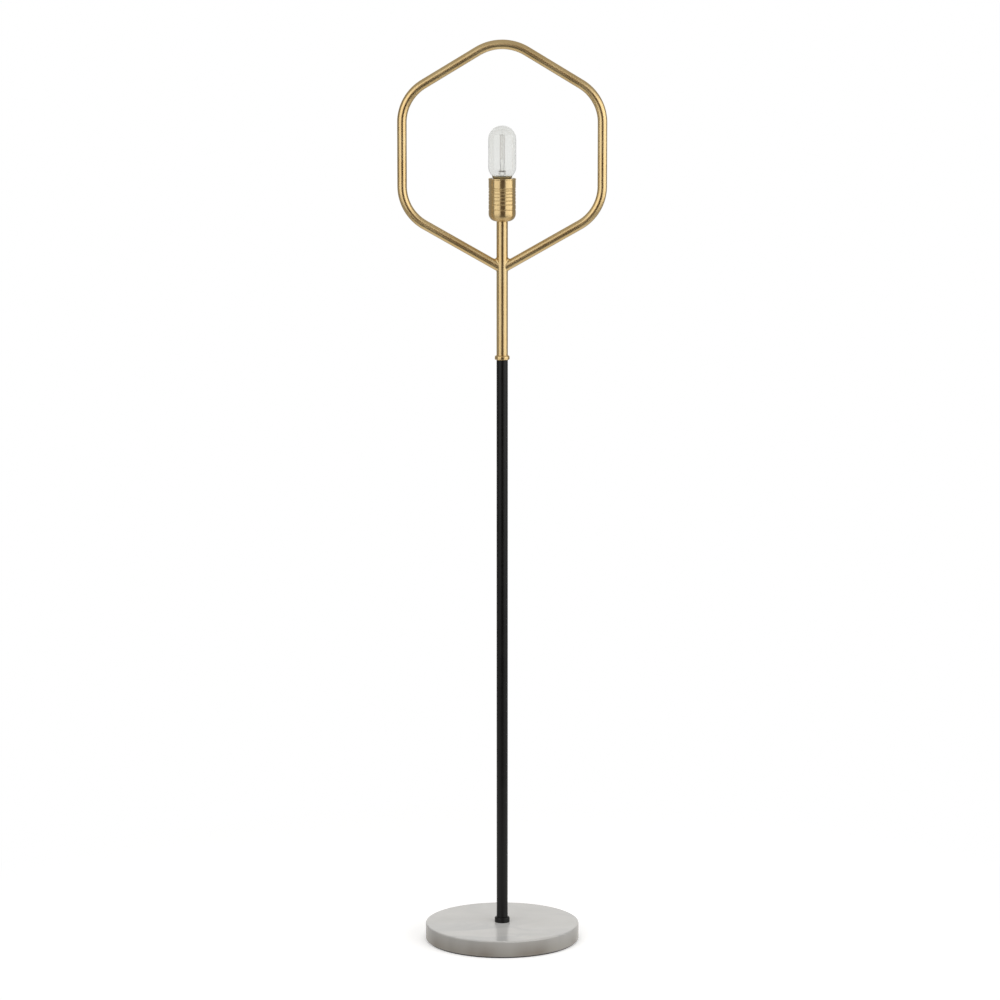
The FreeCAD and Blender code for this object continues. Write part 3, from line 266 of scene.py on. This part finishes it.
bpy.ops.object.select_all(action="DESELECT")
bpy.ops.mesh.primitive_plane_add(size=FLOOR_SIZE, location=(0, 0, 0))
floor = bpy.context.object
floor.name = "floor"
floor_paper = bpy.data.materials.new("floor_paper")
tree = empty_tree(floor_paper)
where = object_place(tree)
apart = add(tree, "ShaderNodeVectorMath", {0: where}, operation="LENGTH").outputs["Value"]
paper_end = spread(tree, one_axis(tree, where, "Y"), 0.05, 1.0, -1.1, -0.7)
# Painted light: in reflections the paper glows, brighter near the lamp and dimmer further away.
painted_light_pool = spread(tree, apart, 0.8, 0.35, 0.8, 1.6)
painted_mirror_glow = worked_out(tree, "MULTIPLY", paper_end, painted_light_pool)
painted_lit_paper = glow(tree, "ShaderNodeEmission", WARM_WHITE, painted_mirror_glow)
far_paper = glow(tree, "ShaderNodeEmission", PURE_WHITE, 1.0)
paper = add(tree, "ShaderNodeBsdfDiffuse", {"Color": PAPER}).outputs[0]
paper_glow = glow(tree, "ShaderNodeEmission", PURE_WHITE, PAPER_GLOW)
near_paper = add(tree, "ShaderNodeAddShader", {0: paper, 1: paper_glow}).outputs[0]
soft_paper = add(tree, "ShaderNodeBsdfDiffuse", {"Color": PAPER_BOUNCE}).outputs[0]
away = spread(tree, apart, 0.0, 1.0, 0.3, 1.0)
seen = add(tree, "ShaderNodeMixShader", {"Fac": away, 1: near_paper, 2: far_paper}).outputs[0]
in_mirrors = add(tree, "ShaderNodeLightPath").outputs["Is Glossy Ray"]
mirrored = add(tree, "ShaderNodeMixShader", {"Fac": in_mirrors, 1: soft_paper, 2: painted_lit_paper}).outputs[0]
surface(tree, add(tree, "ShaderNodeMixShader", {"Fac": seen_by_camera(tree), 1: mirrored, 2: seen}))
floor.data.materials.append(floor_paper)
print("floor:", FLOOR_SIZE, "m square")

# %% [markdown]
# ## The hexagon hoop
# The real hoop looks like one brass tube that went through a bender five times. That its ends are cut to a
# saddle is a guess. It is modelled as a bender would work: a circle is pushed along each straight run, and
# spun round the bender's centre at each bend. Only the right half is made, from the stem to the crown, and a
# mirror gives the left half.

# %% Sizes of the hoop
TUBE_RADIUS = 7.5 * MM
TUBE_WALL = 1.2 * MM
BEND_RADIUS = 70 * MM
CROWN_RADIUS = 75 * MM
FOOT_ABOVE_JOINT = 137.4 * MM
LOWER_CORNER_RISE = 89.2 * MM
UPPER_CORNER_RISE = 269.7 * MM
CROWN_RISE = 364.53 * MM

stem_low, stem_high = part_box("stem_tube")
STEM_RADIUS = stem_high[0]
SIDE_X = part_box("hexagon_hoop")[1][0] - TUBE_RADIUS
HOOP_FOOT = stem_low[2] + FOOT_ABOVE_JOINT
LOWER_CORNER = Vector((SIDE_X, 0, HOOP_FOOT + LOWER_CORNER_RISE))
UPPER_CORNER = Vector((SIDE_X, 0, HOOP_FOOT + UPPER_CORNER_RISE))
CROWN = Vector((0, 0, HOOP_FOOT + CROWN_RISE))
foot = Vector((0, 0, HOOP_FOOT))
lower_slope = math.atan2(LOWER_CORNER.z - foot.z, SIDE_X)
upper_slope = math.atan2(CROWN.z - UPPER_CORNER.z, SIDE_X)
print("hoop: slopes", [round(math.degrees(slope), 2) for slope in (lower_slope, upper_slope)], "degrees")


# %% Helpers for modelling
def alone(piece):
    """Select one piece and nothing else."""
    bpy.ops.object.select_all(action="DESELECT")
    piece.select_set(True)
    bpy.context.view_layer.objects.active = piece


def apply_all(piece):
    """Apply a piece's modifiers from the top down."""
    alone(piece)
    for modifier in list(piece.modifiers):
        bpy.ops.object.modifier_apply(modifier=modifier.name)


def smooth(piece, angle=30):
    """Shade a piece smooth, with sharp edges where it turns by more than this many degrees."""
    alone(piece)
    bpy.ops.object.shade_smooth_by_angle(angle=math.radians(angle))


def triangles(piece):
    return sum(len(face.vertices) - 2 for face in piece.data.polygons)


# %% Bend the tube
AROUND = 48
START = 5 * MM
BEND_STEPS = 36
HALF_CROWN_STEPS = 18
SAME_POINT = 1e-6
bend_1 = math.pi / 2 - lower_slope
bend_2 = math.pi / 2 - upper_slope
reach_1 = BEND_RADIUS * math.tan(bend_1 / 2)
reach_2 = BEND_RADIUS * math.tan(bend_2 / 2)
reach_3 = CROWN_RADIUS * math.tan(upper_slope)


def ahead(heading):
    """The direction that the tube runs in."""
    return Vector((math.cos(heading), 0, math.sin(heading)))


def inward(heading):
    """The direction from the tube to the inner side of the hoop."""
    return Vector((-math.sin(heading), 0, math.cos(heading)))


heading = lower_slope
here = foot + START * ahead(heading)
stations = [(here.copy(), heading, 0.0)]
bpy.ops.object.select_all(action="DESELECT")
bpy.ops.mesh.primitive_circle_add(
    vertices=AROUND, radius=TUBE_RADIUS, location=here, rotation=(0, math.pi / 2 - heading, 0)
)
hoop = bpy.context.object
hoop.name = "hoop_tube"
bpy.ops.object.transform_apply(location=True, rotation=True, scale=True)
bpy.ops.object.mode_set(mode="EDIT")
bpy.ops.mesh.select_all(action="SELECT")


def run_straight(length):
    """Push the open end along its heading."""
    global here
    step = length * ahead(heading)
    bpy.ops.mesh.extrude_edges_move(TRANSFORM_OT_translate={"value": step})
    here = here + step
    stations.append((here.copy(), heading, stations[-1][2] + length))


def bend(radius, angle, steps):
    """Spin the open end round a centre inside the hoop. The spin tool turns against its axis."""
    global here, heading
    centre = here + radius * inward(heading)
    bpy.ops.mesh.spin(steps=steps, angle=angle, center=centre, axis=(0, 1, 0))
    for _ in range(steps):
        heading += angle / steps
        here = centre - radius * inward(heading)
        stations.append((here.copy(), heading, stations[-1][2] + radius * angle / steps))


run_straight((LOWER_CORNER - foot).length - reach_1 - START)
bend(BEND_RADIUS, bend_1, BEND_STEPS)
run_straight((UPPER_CORNER - LOWER_CORNER).length - reach_1 - reach_2)
bend(BEND_RADIUS, bend_2, BEND_STEPS)
run_straight((CROWN - UPPER_CORNER).length - reach_2 - reach_3)
bend(CROWN_RADIUS, upper_slope, HALF_CROWN_STEPS)
bpy.ops.mesh.select_all(action="SELECT")
bpy.ops.mesh.remove_doubles(threshold=SAME_POINT)
bpy.ops.mesh.normals_make_consistent(inside=False)
bpy.ops.object.mode_set(mode="OBJECT")
top = max(vertex.co.z for vertex in hoop.data.vertices)
print("half hoop: crown at", round(top / MM, 2), "mm, tube", round(stations[-1][2] / MM, 1), "mm long")

# %% [markdown]
# ### Lines round the tube
# The photograph is too coarse to show which way the brass was brushed. Its finest lines are assumed to run
# round the tube. Neither the world's axes nor the piece's know which way a bent tube runs, so the hoop gets
# a map: U is the distance round the tube and V the distance along it, in metres. Each point takes both from
# the nearest station of the bender.

# %% Map the tube
def off_the_tube(point, station):
    """How badly a point fits a station: its distance along the tube, and from the tube's skin."""
    centre, heading, _ = station
    return abs((point - centre).dot(ahead(heading))) + abs((point - centre).length - TUBE_RADIUS)


def unrolled(point):
    """The share of a turn round the tube and the distance along it."""
    centre, heading, distance = min(stations, key=lambda station: off_the_tube(point, station))
    return math.atan2((point - centre).dot(inward(heading)), point.y) / (2 * math.pi), distance


wound = hoop.data.uv_layers.new(name="wound")
turn_length = 2 * math.pi * TUBE_RADIUS
place_on_tube = [unrolled(vertex.co) for vertex in hoop.data.vertices]
for face in hoop.data.polygons:
    turns = [place_on_tube[index][0] for index in face.vertices]
    for loop_index, index in zip(face.loop_indices, face.vertices):
        turn, distance = place_on_tube[index]
        if max(turns) - turn > 0.5:
            turn += 1
        wound.data[loop_index].uv = (turn * turn_length, distance)
print("map: one turn is", round(turn_length / MM, 1), "mm")

# %% [markdown]
# ### The other half, the wall and the saddles
# A mirror makes the left half and closes the crown, where both halves meet in one ring of points. A solid
# wall then grows inward from the outline, and a cylinder of the stem's size cuts a saddle into each end.
# The wall comes after the mirror, so that no inner face is left across the crown.

# %% Mirror the tube, give it its wall and cut its saddles
CUTTER_DEPTH = 80 * MM
CUTTER_AROUND = 192

other_half = hoop.modifiers.new("other_half", "MIRROR")
other_half.use_axis = (True, False, False)
other_half.use_mirror_v = True
other_half.merge_threshold = 10 * SAME_POINT
apply_all(hoop)
bpy.ops.object.mode_set(mode="EDIT")
bpy.ops.mesh.select_all(action="SELECT")
bpy.ops.mesh.normals_make_consistent(inside=False)
bpy.ops.object.mode_set(mode="OBJECT")

wall = hoop.modifiers.new("wall", "SOLIDIFY")
wall.thickness = TUBE_WALL
wall.offset = -1
apply_all(hoop)

bpy.ops.object.select_all(action="DESELECT")
bpy.ops.mesh.primitive_cylinder_add(
    vertices=CUTTER_AROUND, radius=STEM_RADIUS, depth=CUTTER_DEPTH, location=foot
)
cutter = bpy.context.object
saddle = hoop.modifiers.new("saddle", "BOOLEAN")
saddle.operation = "DIFFERENCE"
saddle.solver = "EXACT"
saddle.object = cutter
apply_all(hoop)
bpy.data.objects.remove(cutter)
smooth(hoop)
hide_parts("hexagon_hoop")
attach(hoop, "lamp_frame")
print("hoop_tube:", triangles(hoop), "triangles")

# %% [markdown]
# ## The socket cup
# A cup like this can be spun from brass sheet and its seven grooves pressed in with a wheel while it turns.
# That would leave them soft at their edges, as they are modelled. Its rim is rolled a little outward. A
# lathe piece is drawn as half a profile and turned round its axis. The corners of the profile are written
# down with the radius of each bend, and a helper rounds them.

# %% Draw and turn a profile
def softened(corners, steps=8):
    """The points of a profile, from (radius, height, bend) corners in mm, with each bend rounded."""
    points = []
    for index, corner in enumerate(corners):
        here = Vector(corner[:2])
        bend_radius = corner[2] if len(corner) > 2 else 0
        if not bend_radius:
            points.append(here)
            continue
        back = (Vector(corners[index - 1][:2]) - here).normalized()
        onward = (Vector(corners[index + 1][:2]) - here).normalized()
        half = back.angle(onward) / 2
        reach = bend_radius / math.tan(half)
        centre = here + (back + onward).normalized() * (bend_radius / math.sin(half))
        first = here + back * reach - centre
        last = here + onward * reach - centre
        sweep = math.atan2(first.x * last.y - first.y * last.x, first.dot(last))
        for step in range(steps + 1):
            turned_by = sweep * step / steps
            points.append(centre + Vector((
                first.x * math.cos(turned_by) - first.y * math.sin(turned_by),
                first.x * math.sin(turned_by) + first.y * math.cos(turned_by),
            )))
    return points


def turned(name, profile, foot, around=128):
    """Draw a profile of (radius, height) points in mm point by point, and spin it round the lamp's axis."""
    bpy.ops.object.select_all(action="DESELECT")
    bpy.ops.mesh.primitive_plane_add(size=MM, location=(0, 0, 0))
    piece = bpy.context.object
    piece.name = name
    bpy.ops.object.mode_set(mode="EDIT")
    bpy.ops.mesh.select_all(action="SELECT")
    bpy.ops.mesh.merge(type="CENTER")
    start = profile[0]
    bpy.ops.transform.translate(value=(start[0] * MM, 0, foot + start[1] * MM))
    for before, after in zip(profile, profile[1:]):
        step = ((after[0] - before[0]) * MM, 0, (after[1] - before[1]) * MM)
        bpy.ops.mesh.extrude_vertices_move(TRANSFORM_OT_translate={"value": step})
    bpy.ops.mesh.select_all(action="SELECT")
    bpy.ops.mesh.spin(steps=around, angle=2 * math.pi, center=(0, 0, 0), axis=(0, 0, 1))
    bpy.ops.mesh.select_all(action="SELECT")
    bpy.ops.mesh.remove_doubles(threshold=2 * SAME_POINT)
    bpy.ops.mesh.normals_make_consistent(inside=False)
    bpy.ops.object.mode_set(mode="OBJECT")
    return piece


# %% Spin the cup
cup_low, cup_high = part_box("socket_cup")
CUP_FOOT = cup_low[2]
CUP_HEIGHT = (cup_high[2] - cup_low[2]) / MM
CUP_RADIUS = cup_high[0] / MM
GROOVE_HEIGHTS = (18.4, 26.8, 33.0, 38.5, 43.75, 48.6, 51.8)
GROOVE_HALF_WIDTH = 1.0
GROOVE_DEPTH = 0.65
LIP = 0.35
CUP_BORE = 5.05
CUP_WALL = 1.2
FOOT_BEND = 11.75

corners = [(CUP_BORE, 0), (CUP_RADIUS, 0, FOOT_BEND)]
for height in GROOVE_HEIGHTS:
    corners += [
        (CUP_RADIUS, height - GROOVE_HALF_WIDTH, 0.3),
        (CUP_RADIUS - GROOVE_DEPTH, height, 0.35),
        (CUP_RADIUS, height + GROOVE_HALF_WIDTH, 0.3),
    ]
corners += [
    (CUP_RADIUS, CUP_HEIGHT - 2.6, 1.2),
    (CUP_RADIUS + LIP, CUP_HEIGHT - 1.5, 0.8),
    (CUP_RADIUS + LIP, CUP_HEIGHT, 0.5),
    (CUP_RADIUS - CUP_WALL, CUP_HEIGHT, 0.4),
    (CUP_RADIUS - CUP_WALL, CUP_WALL, FOOT_BEND - CUP_WALL),
    (CUP_BORE, CUP_WALL),
    (CUP_BORE, 0),
]
cup = turned("cup_shell", softened(corners, 6), CUP_FOOT)
smooth(cup, 50)
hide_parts("socket_cup")
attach(cup, "lamp_frame")
print("cup_shell:", triangles(cup), "triangles, box", [round(x / MM, 1) for x in cup.dimensions])

# %% [markdown]
# ## Satin brass
# The tubes and the cup are satin brass, assumed to be brushed round their axis. Three things make that
# look. The metal's colour is a warm yellow with a little cloudiness. Very fine lines run round it, from a
# noise that is stretched out along the brushing and crowded across it. And a reflection is drawn out along
# the tube, at right angles to the lines, which the shader calls anisotropic. The hoop's lines are shallower
# and its gloss is drawn out less than on the straight pieces. Nothing on the real lamp is known to cause
# that: both values were set by comparing renders with the photograph, to calm the specks in the hoop's dark
# line, and they did little for them.

# %% Brass
LINES_PER_METRE = 2600
LINES_ROUND = 60
LINE_DEPTH = 0.006 * MM
BRASS_TONES = [(0.32, (0.76, 0.55, 0.262)), (0.68, (0.83, 0.635, 0.33))]


def satin_brass(name, mapped, drawn_out, relief):
    """Brushed brass. On a mapped tube the lines follow its UV map, and on a turned piece its axis."""
    material = bpy.data.materials.new(name)
    tree = empty_tree(material)
    if mapped:
        place = add(tree, "ShaderNodeUVMap", uv_map="wound").outputs["UV"]
        stretch = (LINES_ROUND, LINES_PER_METRE, 1)
        tangent = add(tree, "ShaderNodeTangent", direction_type="UV_MAP", uv_map="wound")
    else:
        place = object_place(tree)
        stretch = (LINES_ROUND, LINES_ROUND, LINES_PER_METRE)
        tangent = add(tree, "ShaderNodeTangent", direction_type="RADIAL", axis="Z")
    brushed = add(tree, "ShaderNodeMapping", {"Vector": place, "Scale": stretch}).outputs["Vector"]
    lines = noise(tree, brushed, 1.0, detail=2.0, roughness=0.5)
    clouds = noise(tree, object_place(tree), 22, detail=2.0, roughness=0.45)
    shader = add(tree, "ShaderNodeBsdfPrincipled", {
        "Base Color": tinted(tree, clouds, BRASS_TONES),
        "Metallic": 1.0,
        "Roughness": spread(tree, clouds, 0.3, 0.37),
        "Anisotropic": drawn_out,
        "Anisotropic Rotation": 0.25,
        "Tangent": tangent.outputs["Tangent"],
        "Normal": bumped(tree, lines, LINE_DEPTH, relief),
    })
    surface(tree, shader)
    return material


slot_of = {part["node"]: part["material_slot"] for part in frame["record"]["subparts"]}


def dress(slot, material, *pieces):
    """Give a finish to the CAD nodes of a slot, and to the pieces modelled here."""
    dressed = [name for name, given in slot_of.items() if given == slot]
    for name in dressed:
        nodes[name].material_slots[0].material = material
    for piece in pieces:
        piece.data.materials.clear()
        piece.data.materials.append(material)
    print(material.name, "on", ", ".join(dressed + [piece.name for piece in pieces]))


turned_brass = satin_brass("brass_brushed_round", mapped=False, drawn_out=0.9, relief=0.7)
bent_brass = satin_brass("brass_brushed_tube", mapped=True, drawn_out=0.5, relief=0.12)
dress("satin_brass", turned_brass, cup)
hoop.data.materials.append(bent_brass)

# %% [markdown]
# ## Black powder coat
# The pole and the collar at its foot are satin black, taken to be powder coat on steel. Powder melts to a
# skin that is never quite flat: it has the fine waves called orange peel, about a millimetre apart. The coat
# is nearly black, and what is seen of it is a soft reflection at each side of the pole.

# %% Black coat
PEEL_DEPTH = 0.025 * MM
COAT_TONES = [(0.3, (0.0028, 0.0027, 0.0025)), (0.7, (0.005, 0.0048, 0.0044))]

black_coat = bpy.data.materials.new("black_powder_coat")
tree = empty_tree(black_coat)
peel = noise(tree, object_place(tree), 900, detail=1.0)
dust = noise(tree, object_place(tree), 25, detail=4.0)
shader = add(tree, "ShaderNodeBsdfPrincipled", {
    "Base Color": tinted(tree, dust, COAT_TONES),
    "Roughness": spread(tree, dust, 0.3, 0.4),
    "Specular IOR Level": 0.3,
    "Normal": bumped(tree, peel, PEEL_DEPTH, 0.5),
})
surface(tree, shader)
dress("black_paint", black_coat)

# %% [markdown]
# ## Marble
# The base is a polished disc of pale grey marble. The stone is cloudy, with soft blue-grey veins that cross
# it on the slant. A vein is where a bent noise crosses its middle value. The side is warmer and darker than
# the flat top and streaked, with a soft change at the rounded edge. That is painted shade in the side's
# colour: the side is painted darker than the top, and darker still towards the bottom. Its cause isn't
# known.

# %% Stone
STONE_TONES = [(0.3, (0.545, 0.54, 0.52)), (0.5, (0.595, 0.59, 0.575)), (0.72, (0.635, 0.63, 0.615))]
SIDE_SHADE_TONES = [(0.34, (0.27, 0.235, 0.195)), (0.5, (0.37, 0.345, 0.305)), (0.64, (0.47, 0.45, 0.41))]
VEIN_GREY = (0.4, 0.415, 0.43, 1)
PORE_DEPTH = 0.02 * MM
base_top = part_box("marble_base")[1][2]

marble = bpy.data.materials.new("pale_marble")
tree = empty_tree(marble)
place = add(tree, "ShaderNodeMapping", {
    "Vector": add(tree, "ShaderNodeTexCoord").outputs["Object"],
    "Rotation": (0.2, 0.1, 0.5),
    "Scale": (1.0, 1.6, 0.45),
}).outputs["Vector"]
clouds = noise(tree, place, 8, detail=3.0, roughness=0.5, distortion=0.4)
stone = tinted(tree, clouds, STONE_TONES)
bent = noise(tree, place, 6.5, detail=3.0, roughness=0.45, distortion=1.0)
from_middle = worked_out(tree, "ABSOLUTE", worked_out(tree, "SUBTRACT", bent, 0.5))
vein = spread(tree, from_middle, 0.4, 0.0, 0.0, 0.08)
patchy = spread(tree, noise(tree, place, 4, detail=1.0), 0.0, 1.0, 0.35, 0.7)
veined = mixed(tree, worked_out(tree, "MULTIPLY", vein, patchy), stone, VEIN_GREY)
facing_up = one_axis(tree, add(tree, "ShaderNodeNewGeometry").outputs["Normal"], "Z")
height = one_axis(tree, object_place(tree), "Z")
# Painted shade: the sides get a darker, warmer, streaked colour than the top, and it darkens towards the
# bottom.
upright = spread(tree, facing_up, 1.0, 0.0, 0.0, 0.95)
painted_shade_low = spread(tree, height, 0.95, 0.35, 6 * MM, base_top - 3 * MM)
painted_side_shade = worked_out(tree, "MULTIPLY", upright, painted_shade_low)
streaks = noise(tree, object_place(tree, (1, 1, 0.15)), 14, detail=2.0, roughness=0.45)
painted_side_shade_tone = tinted(tree, streaks, SIDE_SHADE_TONES)
pores = noise(tree, object_place(tree), 160, detail=3.0)
shader = add(tree, "ShaderNodeBsdfPrincipled", {
    "Base Color": mixed(tree, painted_side_shade, veined, painted_side_shade_tone),
    "Roughness": spread(tree, clouds, 0.17, 0.27),
    "IOR": 1.48,
    "Normal": bumped(tree, pores, PORE_DEPTH, 0.4),
})
surface(tree, shader)
dress("marble", marble)

# %% [markdown]
# ## Glass
# The bulb is made as such bulbs usually are: blown soda glass under a millimetre thick, with faint draw
# lines along it, and inside it a mount of lead glass, pressed flat round the wires while hot. One dark mark
# is seen low in the bulb, and a dark grey band is painted across the mount's glass at that height; what
# makes the mark isn't known. Both glasses are clear: light passes through them with no roughness, and the
# greyness is what the two walls take from the light behind.

# %% Clear glass
DARK_BAND_GREY = (0.3, 0.28, 0.26, 1)
DARK_BAND_ABOVE_FOOT = 28.6 * MM


def blown_glass(name, tint, deep_tint, wave, wave_scale, index, dark_band_height=None):
    """Clear glass with faint waves in its surface, a tint that wanders and, if asked, a dark grey band
    painted across it at one height.
    """
    material = bpy.data.materials.new(name)
    tree = empty_tree(material)
    waves = noise(tree, object_place(tree, (1, 1, 0.12)), wave_scale, detail=2.0)
    drift = noise(tree, object_place(tree), 30, detail=1.0)
    colour = tinted(tree, drift, [(0.3, tint), (0.75, deep_tint)])
    # A dark grey band painted round the glass at one height; its cause isn't known.
    if dark_band_height:
        height = one_axis(tree, object_place(tree), "Z")
        apart = worked_out(tree, "ABSOLUTE", worked_out(tree, "SUBTRACT", height, dark_band_height))
        dark_band = spread(tree, apart, 1.0, 0.0, 0.6 * MM, 1.8 * MM)
        colour = mixed(tree, dark_band, colour, DARK_BAND_GREY)
    shader = add(tree, "ShaderNodeBsdfPrincipled", {
        "Base Color": colour,
        "Roughness": 0.0,
        "IOR": index,
        "Transmission Weight": 1.0,
        "Normal": bumped(tree, waves, wave, 1.0),
    })
    surface(tree, shader)
    return material


bulb_glass = blown_glass(
    "bulb_glass_clear", tint=(0.885, 0.888, 0.875), deep_tint=(0.86, 0.863, 0.845),
    wave=0.02 * MM, wave_scale=140, index=1.5,
)
mount_glass = blown_glass(
    "mount_glass_clear", tint=(0.955, 0.95, 0.93), deep_tint=(0.93, 0.925, 0.9),
    wave=0.05 * MM, wave_scale=220, index=1.54,
    dark_band_height=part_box("bulb_stem_mount")[0][2] + DARK_BAND_ABOVE_FOOT,
)
dress("clear_glass", bulb_glass)
dress("mount_glass", mount_glass)

# %% [markdown]
# ## Small metal parts
# Most of these are hidden in the photograph, so their metals are the usual ones. Nuts and washers are zinc
# plated, the contacts and terminals are plain brass that has begun to darken, the bulb's cap is thin brass,
# its wires are nickel and its button is solder. One recipe serves them all: a metal whose colour and
# roughness wander with a cloudy noise, and a grain to break up its reflection.

# %% Plain metals
def plain_metal(name, bright, dull, low, high, cloud_scale, grain_scale, grain_depth):
    """A metal whose colour goes from bright to dull and whose roughness from low to high in clouds."""
    material = bpy.data.materials.new(name)
    tree = empty_tree(material)
    clouds = noise(tree, object_place(tree), cloud_scale, detail=4.0, roughness=0.6)
    grain = noise(tree, object_place(tree), grain_scale, detail=2.0)
    shader = add(tree, "ShaderNodeBsdfPrincipled", {
        "Base Color": tinted(tree, clouds, [(0.3, bright), (0.72, dull)]),
        "Metallic": 1.0,
        "Roughness": spread(tree, clouds, low, high),
        "Normal": bumped(tree, grain, grain_depth * MM, 0.6),
    })
    surface(tree, shader)
    return material


# Each slot's metal: name, bright tone, dull tone, roughness from and to, clouds and grain to the metre, and
# the grain's depth in mm.
METALS = {
    "plated_steel": ("zinc_plate", (0.62, 0.63, 0.64), (0.46, 0.47, 0.49), 0.25, 0.42, 160, 900, 0.03),
    "contact_brass": (
        "contact_brass_plain", (0.74, 0.58, 0.3), (0.55, 0.4, 0.2), 0.25, 0.42, 220, 1500, 0.02
    ),
    "bulb_cap_metal": ("cap_brass_thin", (0.58, 0.46, 0.25), (0.42, 0.33, 0.17), 0.3, 0.45, 130, 1200, 0.03),
    "nickel_wire": ("nickel_wire_drawn", (0.3, 0.29, 0.27), (0.16, 0.155, 0.15), 0.3, 0.5, 700, 4000, 0.01),
    "filament_wire": (
        "filament_wire_dark", (0.38, 0.26, 0.15), (0.22, 0.15, 0.085), 0.4, 0.6, 900, 6000, 0.01
    ),
    "solder": ("solder_dull", (0.5, 0.5, 0.5), (0.32, 0.325, 0.33), 0.35, 0.55, 350, 1400, 0.06),
}
for slot, recipe in METALS.items():
    dress(slot, plain_metal(*recipe))

# %% [markdown]
# ## Porcelain, rubber, plastics and cement
# These don't conduct, so they have a coloured body under a clear or dull skin. The recipe is the same for
# all: a body colour that wanders between two near tones, a roughness, and a skin relief at the right scale,
# from smooth glaze to the pores of foam rubber.

# %% Bodies with a skin
def plain_body(name, light, dark, low, high, cloud_scale, skin_scale, skin_depth):
    """A material that isn't metal, from its two tones, its roughness and the relief of its skin."""
    material = bpy.data.materials.new(name)
    tree = empty_tree(material)
    clouds = noise(tree, object_place(tree), cloud_scale, detail=3.0)
    skin = noise(tree, object_place(tree), skin_scale, detail=3.0, roughness=0.65)
    shader = add(tree, "ShaderNodeBsdfPrincipled", {
        "Base Color": tinted(tree, clouds, [(0.3, light), (0.7, dark)]),
        "Roughness": spread(tree, skin, low, high),
        "Normal": bumped(tree, skin, skin_depth * MM, 0.8),
    })
    surface(tree, shader)
    return material


# Each slot's body: name, light tone, dark tone, roughness from and to, clouds and skin to the metre, and the
# skin's depth in mm.
BODIES = {
    "porcelain": ("porcelain_glazed", (0.78, 0.77, 0.73), (0.7, 0.69, 0.65), 0.12, 0.24, 90, 500, 0.03),
    "rubber_pad": (
        "foam_rubber_black", (0.03, 0.03, 0.03), (0.018, 0.018, 0.018), 0.75, 0.95, 60, 2200, 0.15
    ),
    "inlet_rubber": (
        "moulded_rubber_black", (0.028, 0.028, 0.027), (0.018, 0.018, 0.018), 0.55, 0.75, 120, 1600, 0.04
    ),
    "lead_jacket": (
        "vinyl_jacket_black", (0.022, 0.022, 0.022), (0.014, 0.014, 0.014), 0.32, 0.48, 140, 1300, 0.03
    ),
    "core_insulation": (
        "vinyl_core_ivory", (0.68, 0.65, 0.56), (0.6, 0.57, 0.48), 0.3, 0.45, 300, 1500, 0.02
    ),
    "seal_glass": (
        "seal_glass_black", (0.012, 0.012, 0.015), (0.02, 0.018, 0.022), 0.06, 0.2, 260, 700, 0.03
    ),
    "cement": ("cap_cement_sand", (0.56, 0.5, 0.38), (0.4, 0.35, 0.26), 0.7, 0.9, 400, 1800, 0.12),
}
for slot, recipe in BODIES.items():
    dress(slot, plain_body(*recipe))

# %% [markdown]
# ## Finish
# Standard colour shows a written colour as it was written.

# %% Finish
bpy.context.scene.view_settings.view_transform = "Standard"
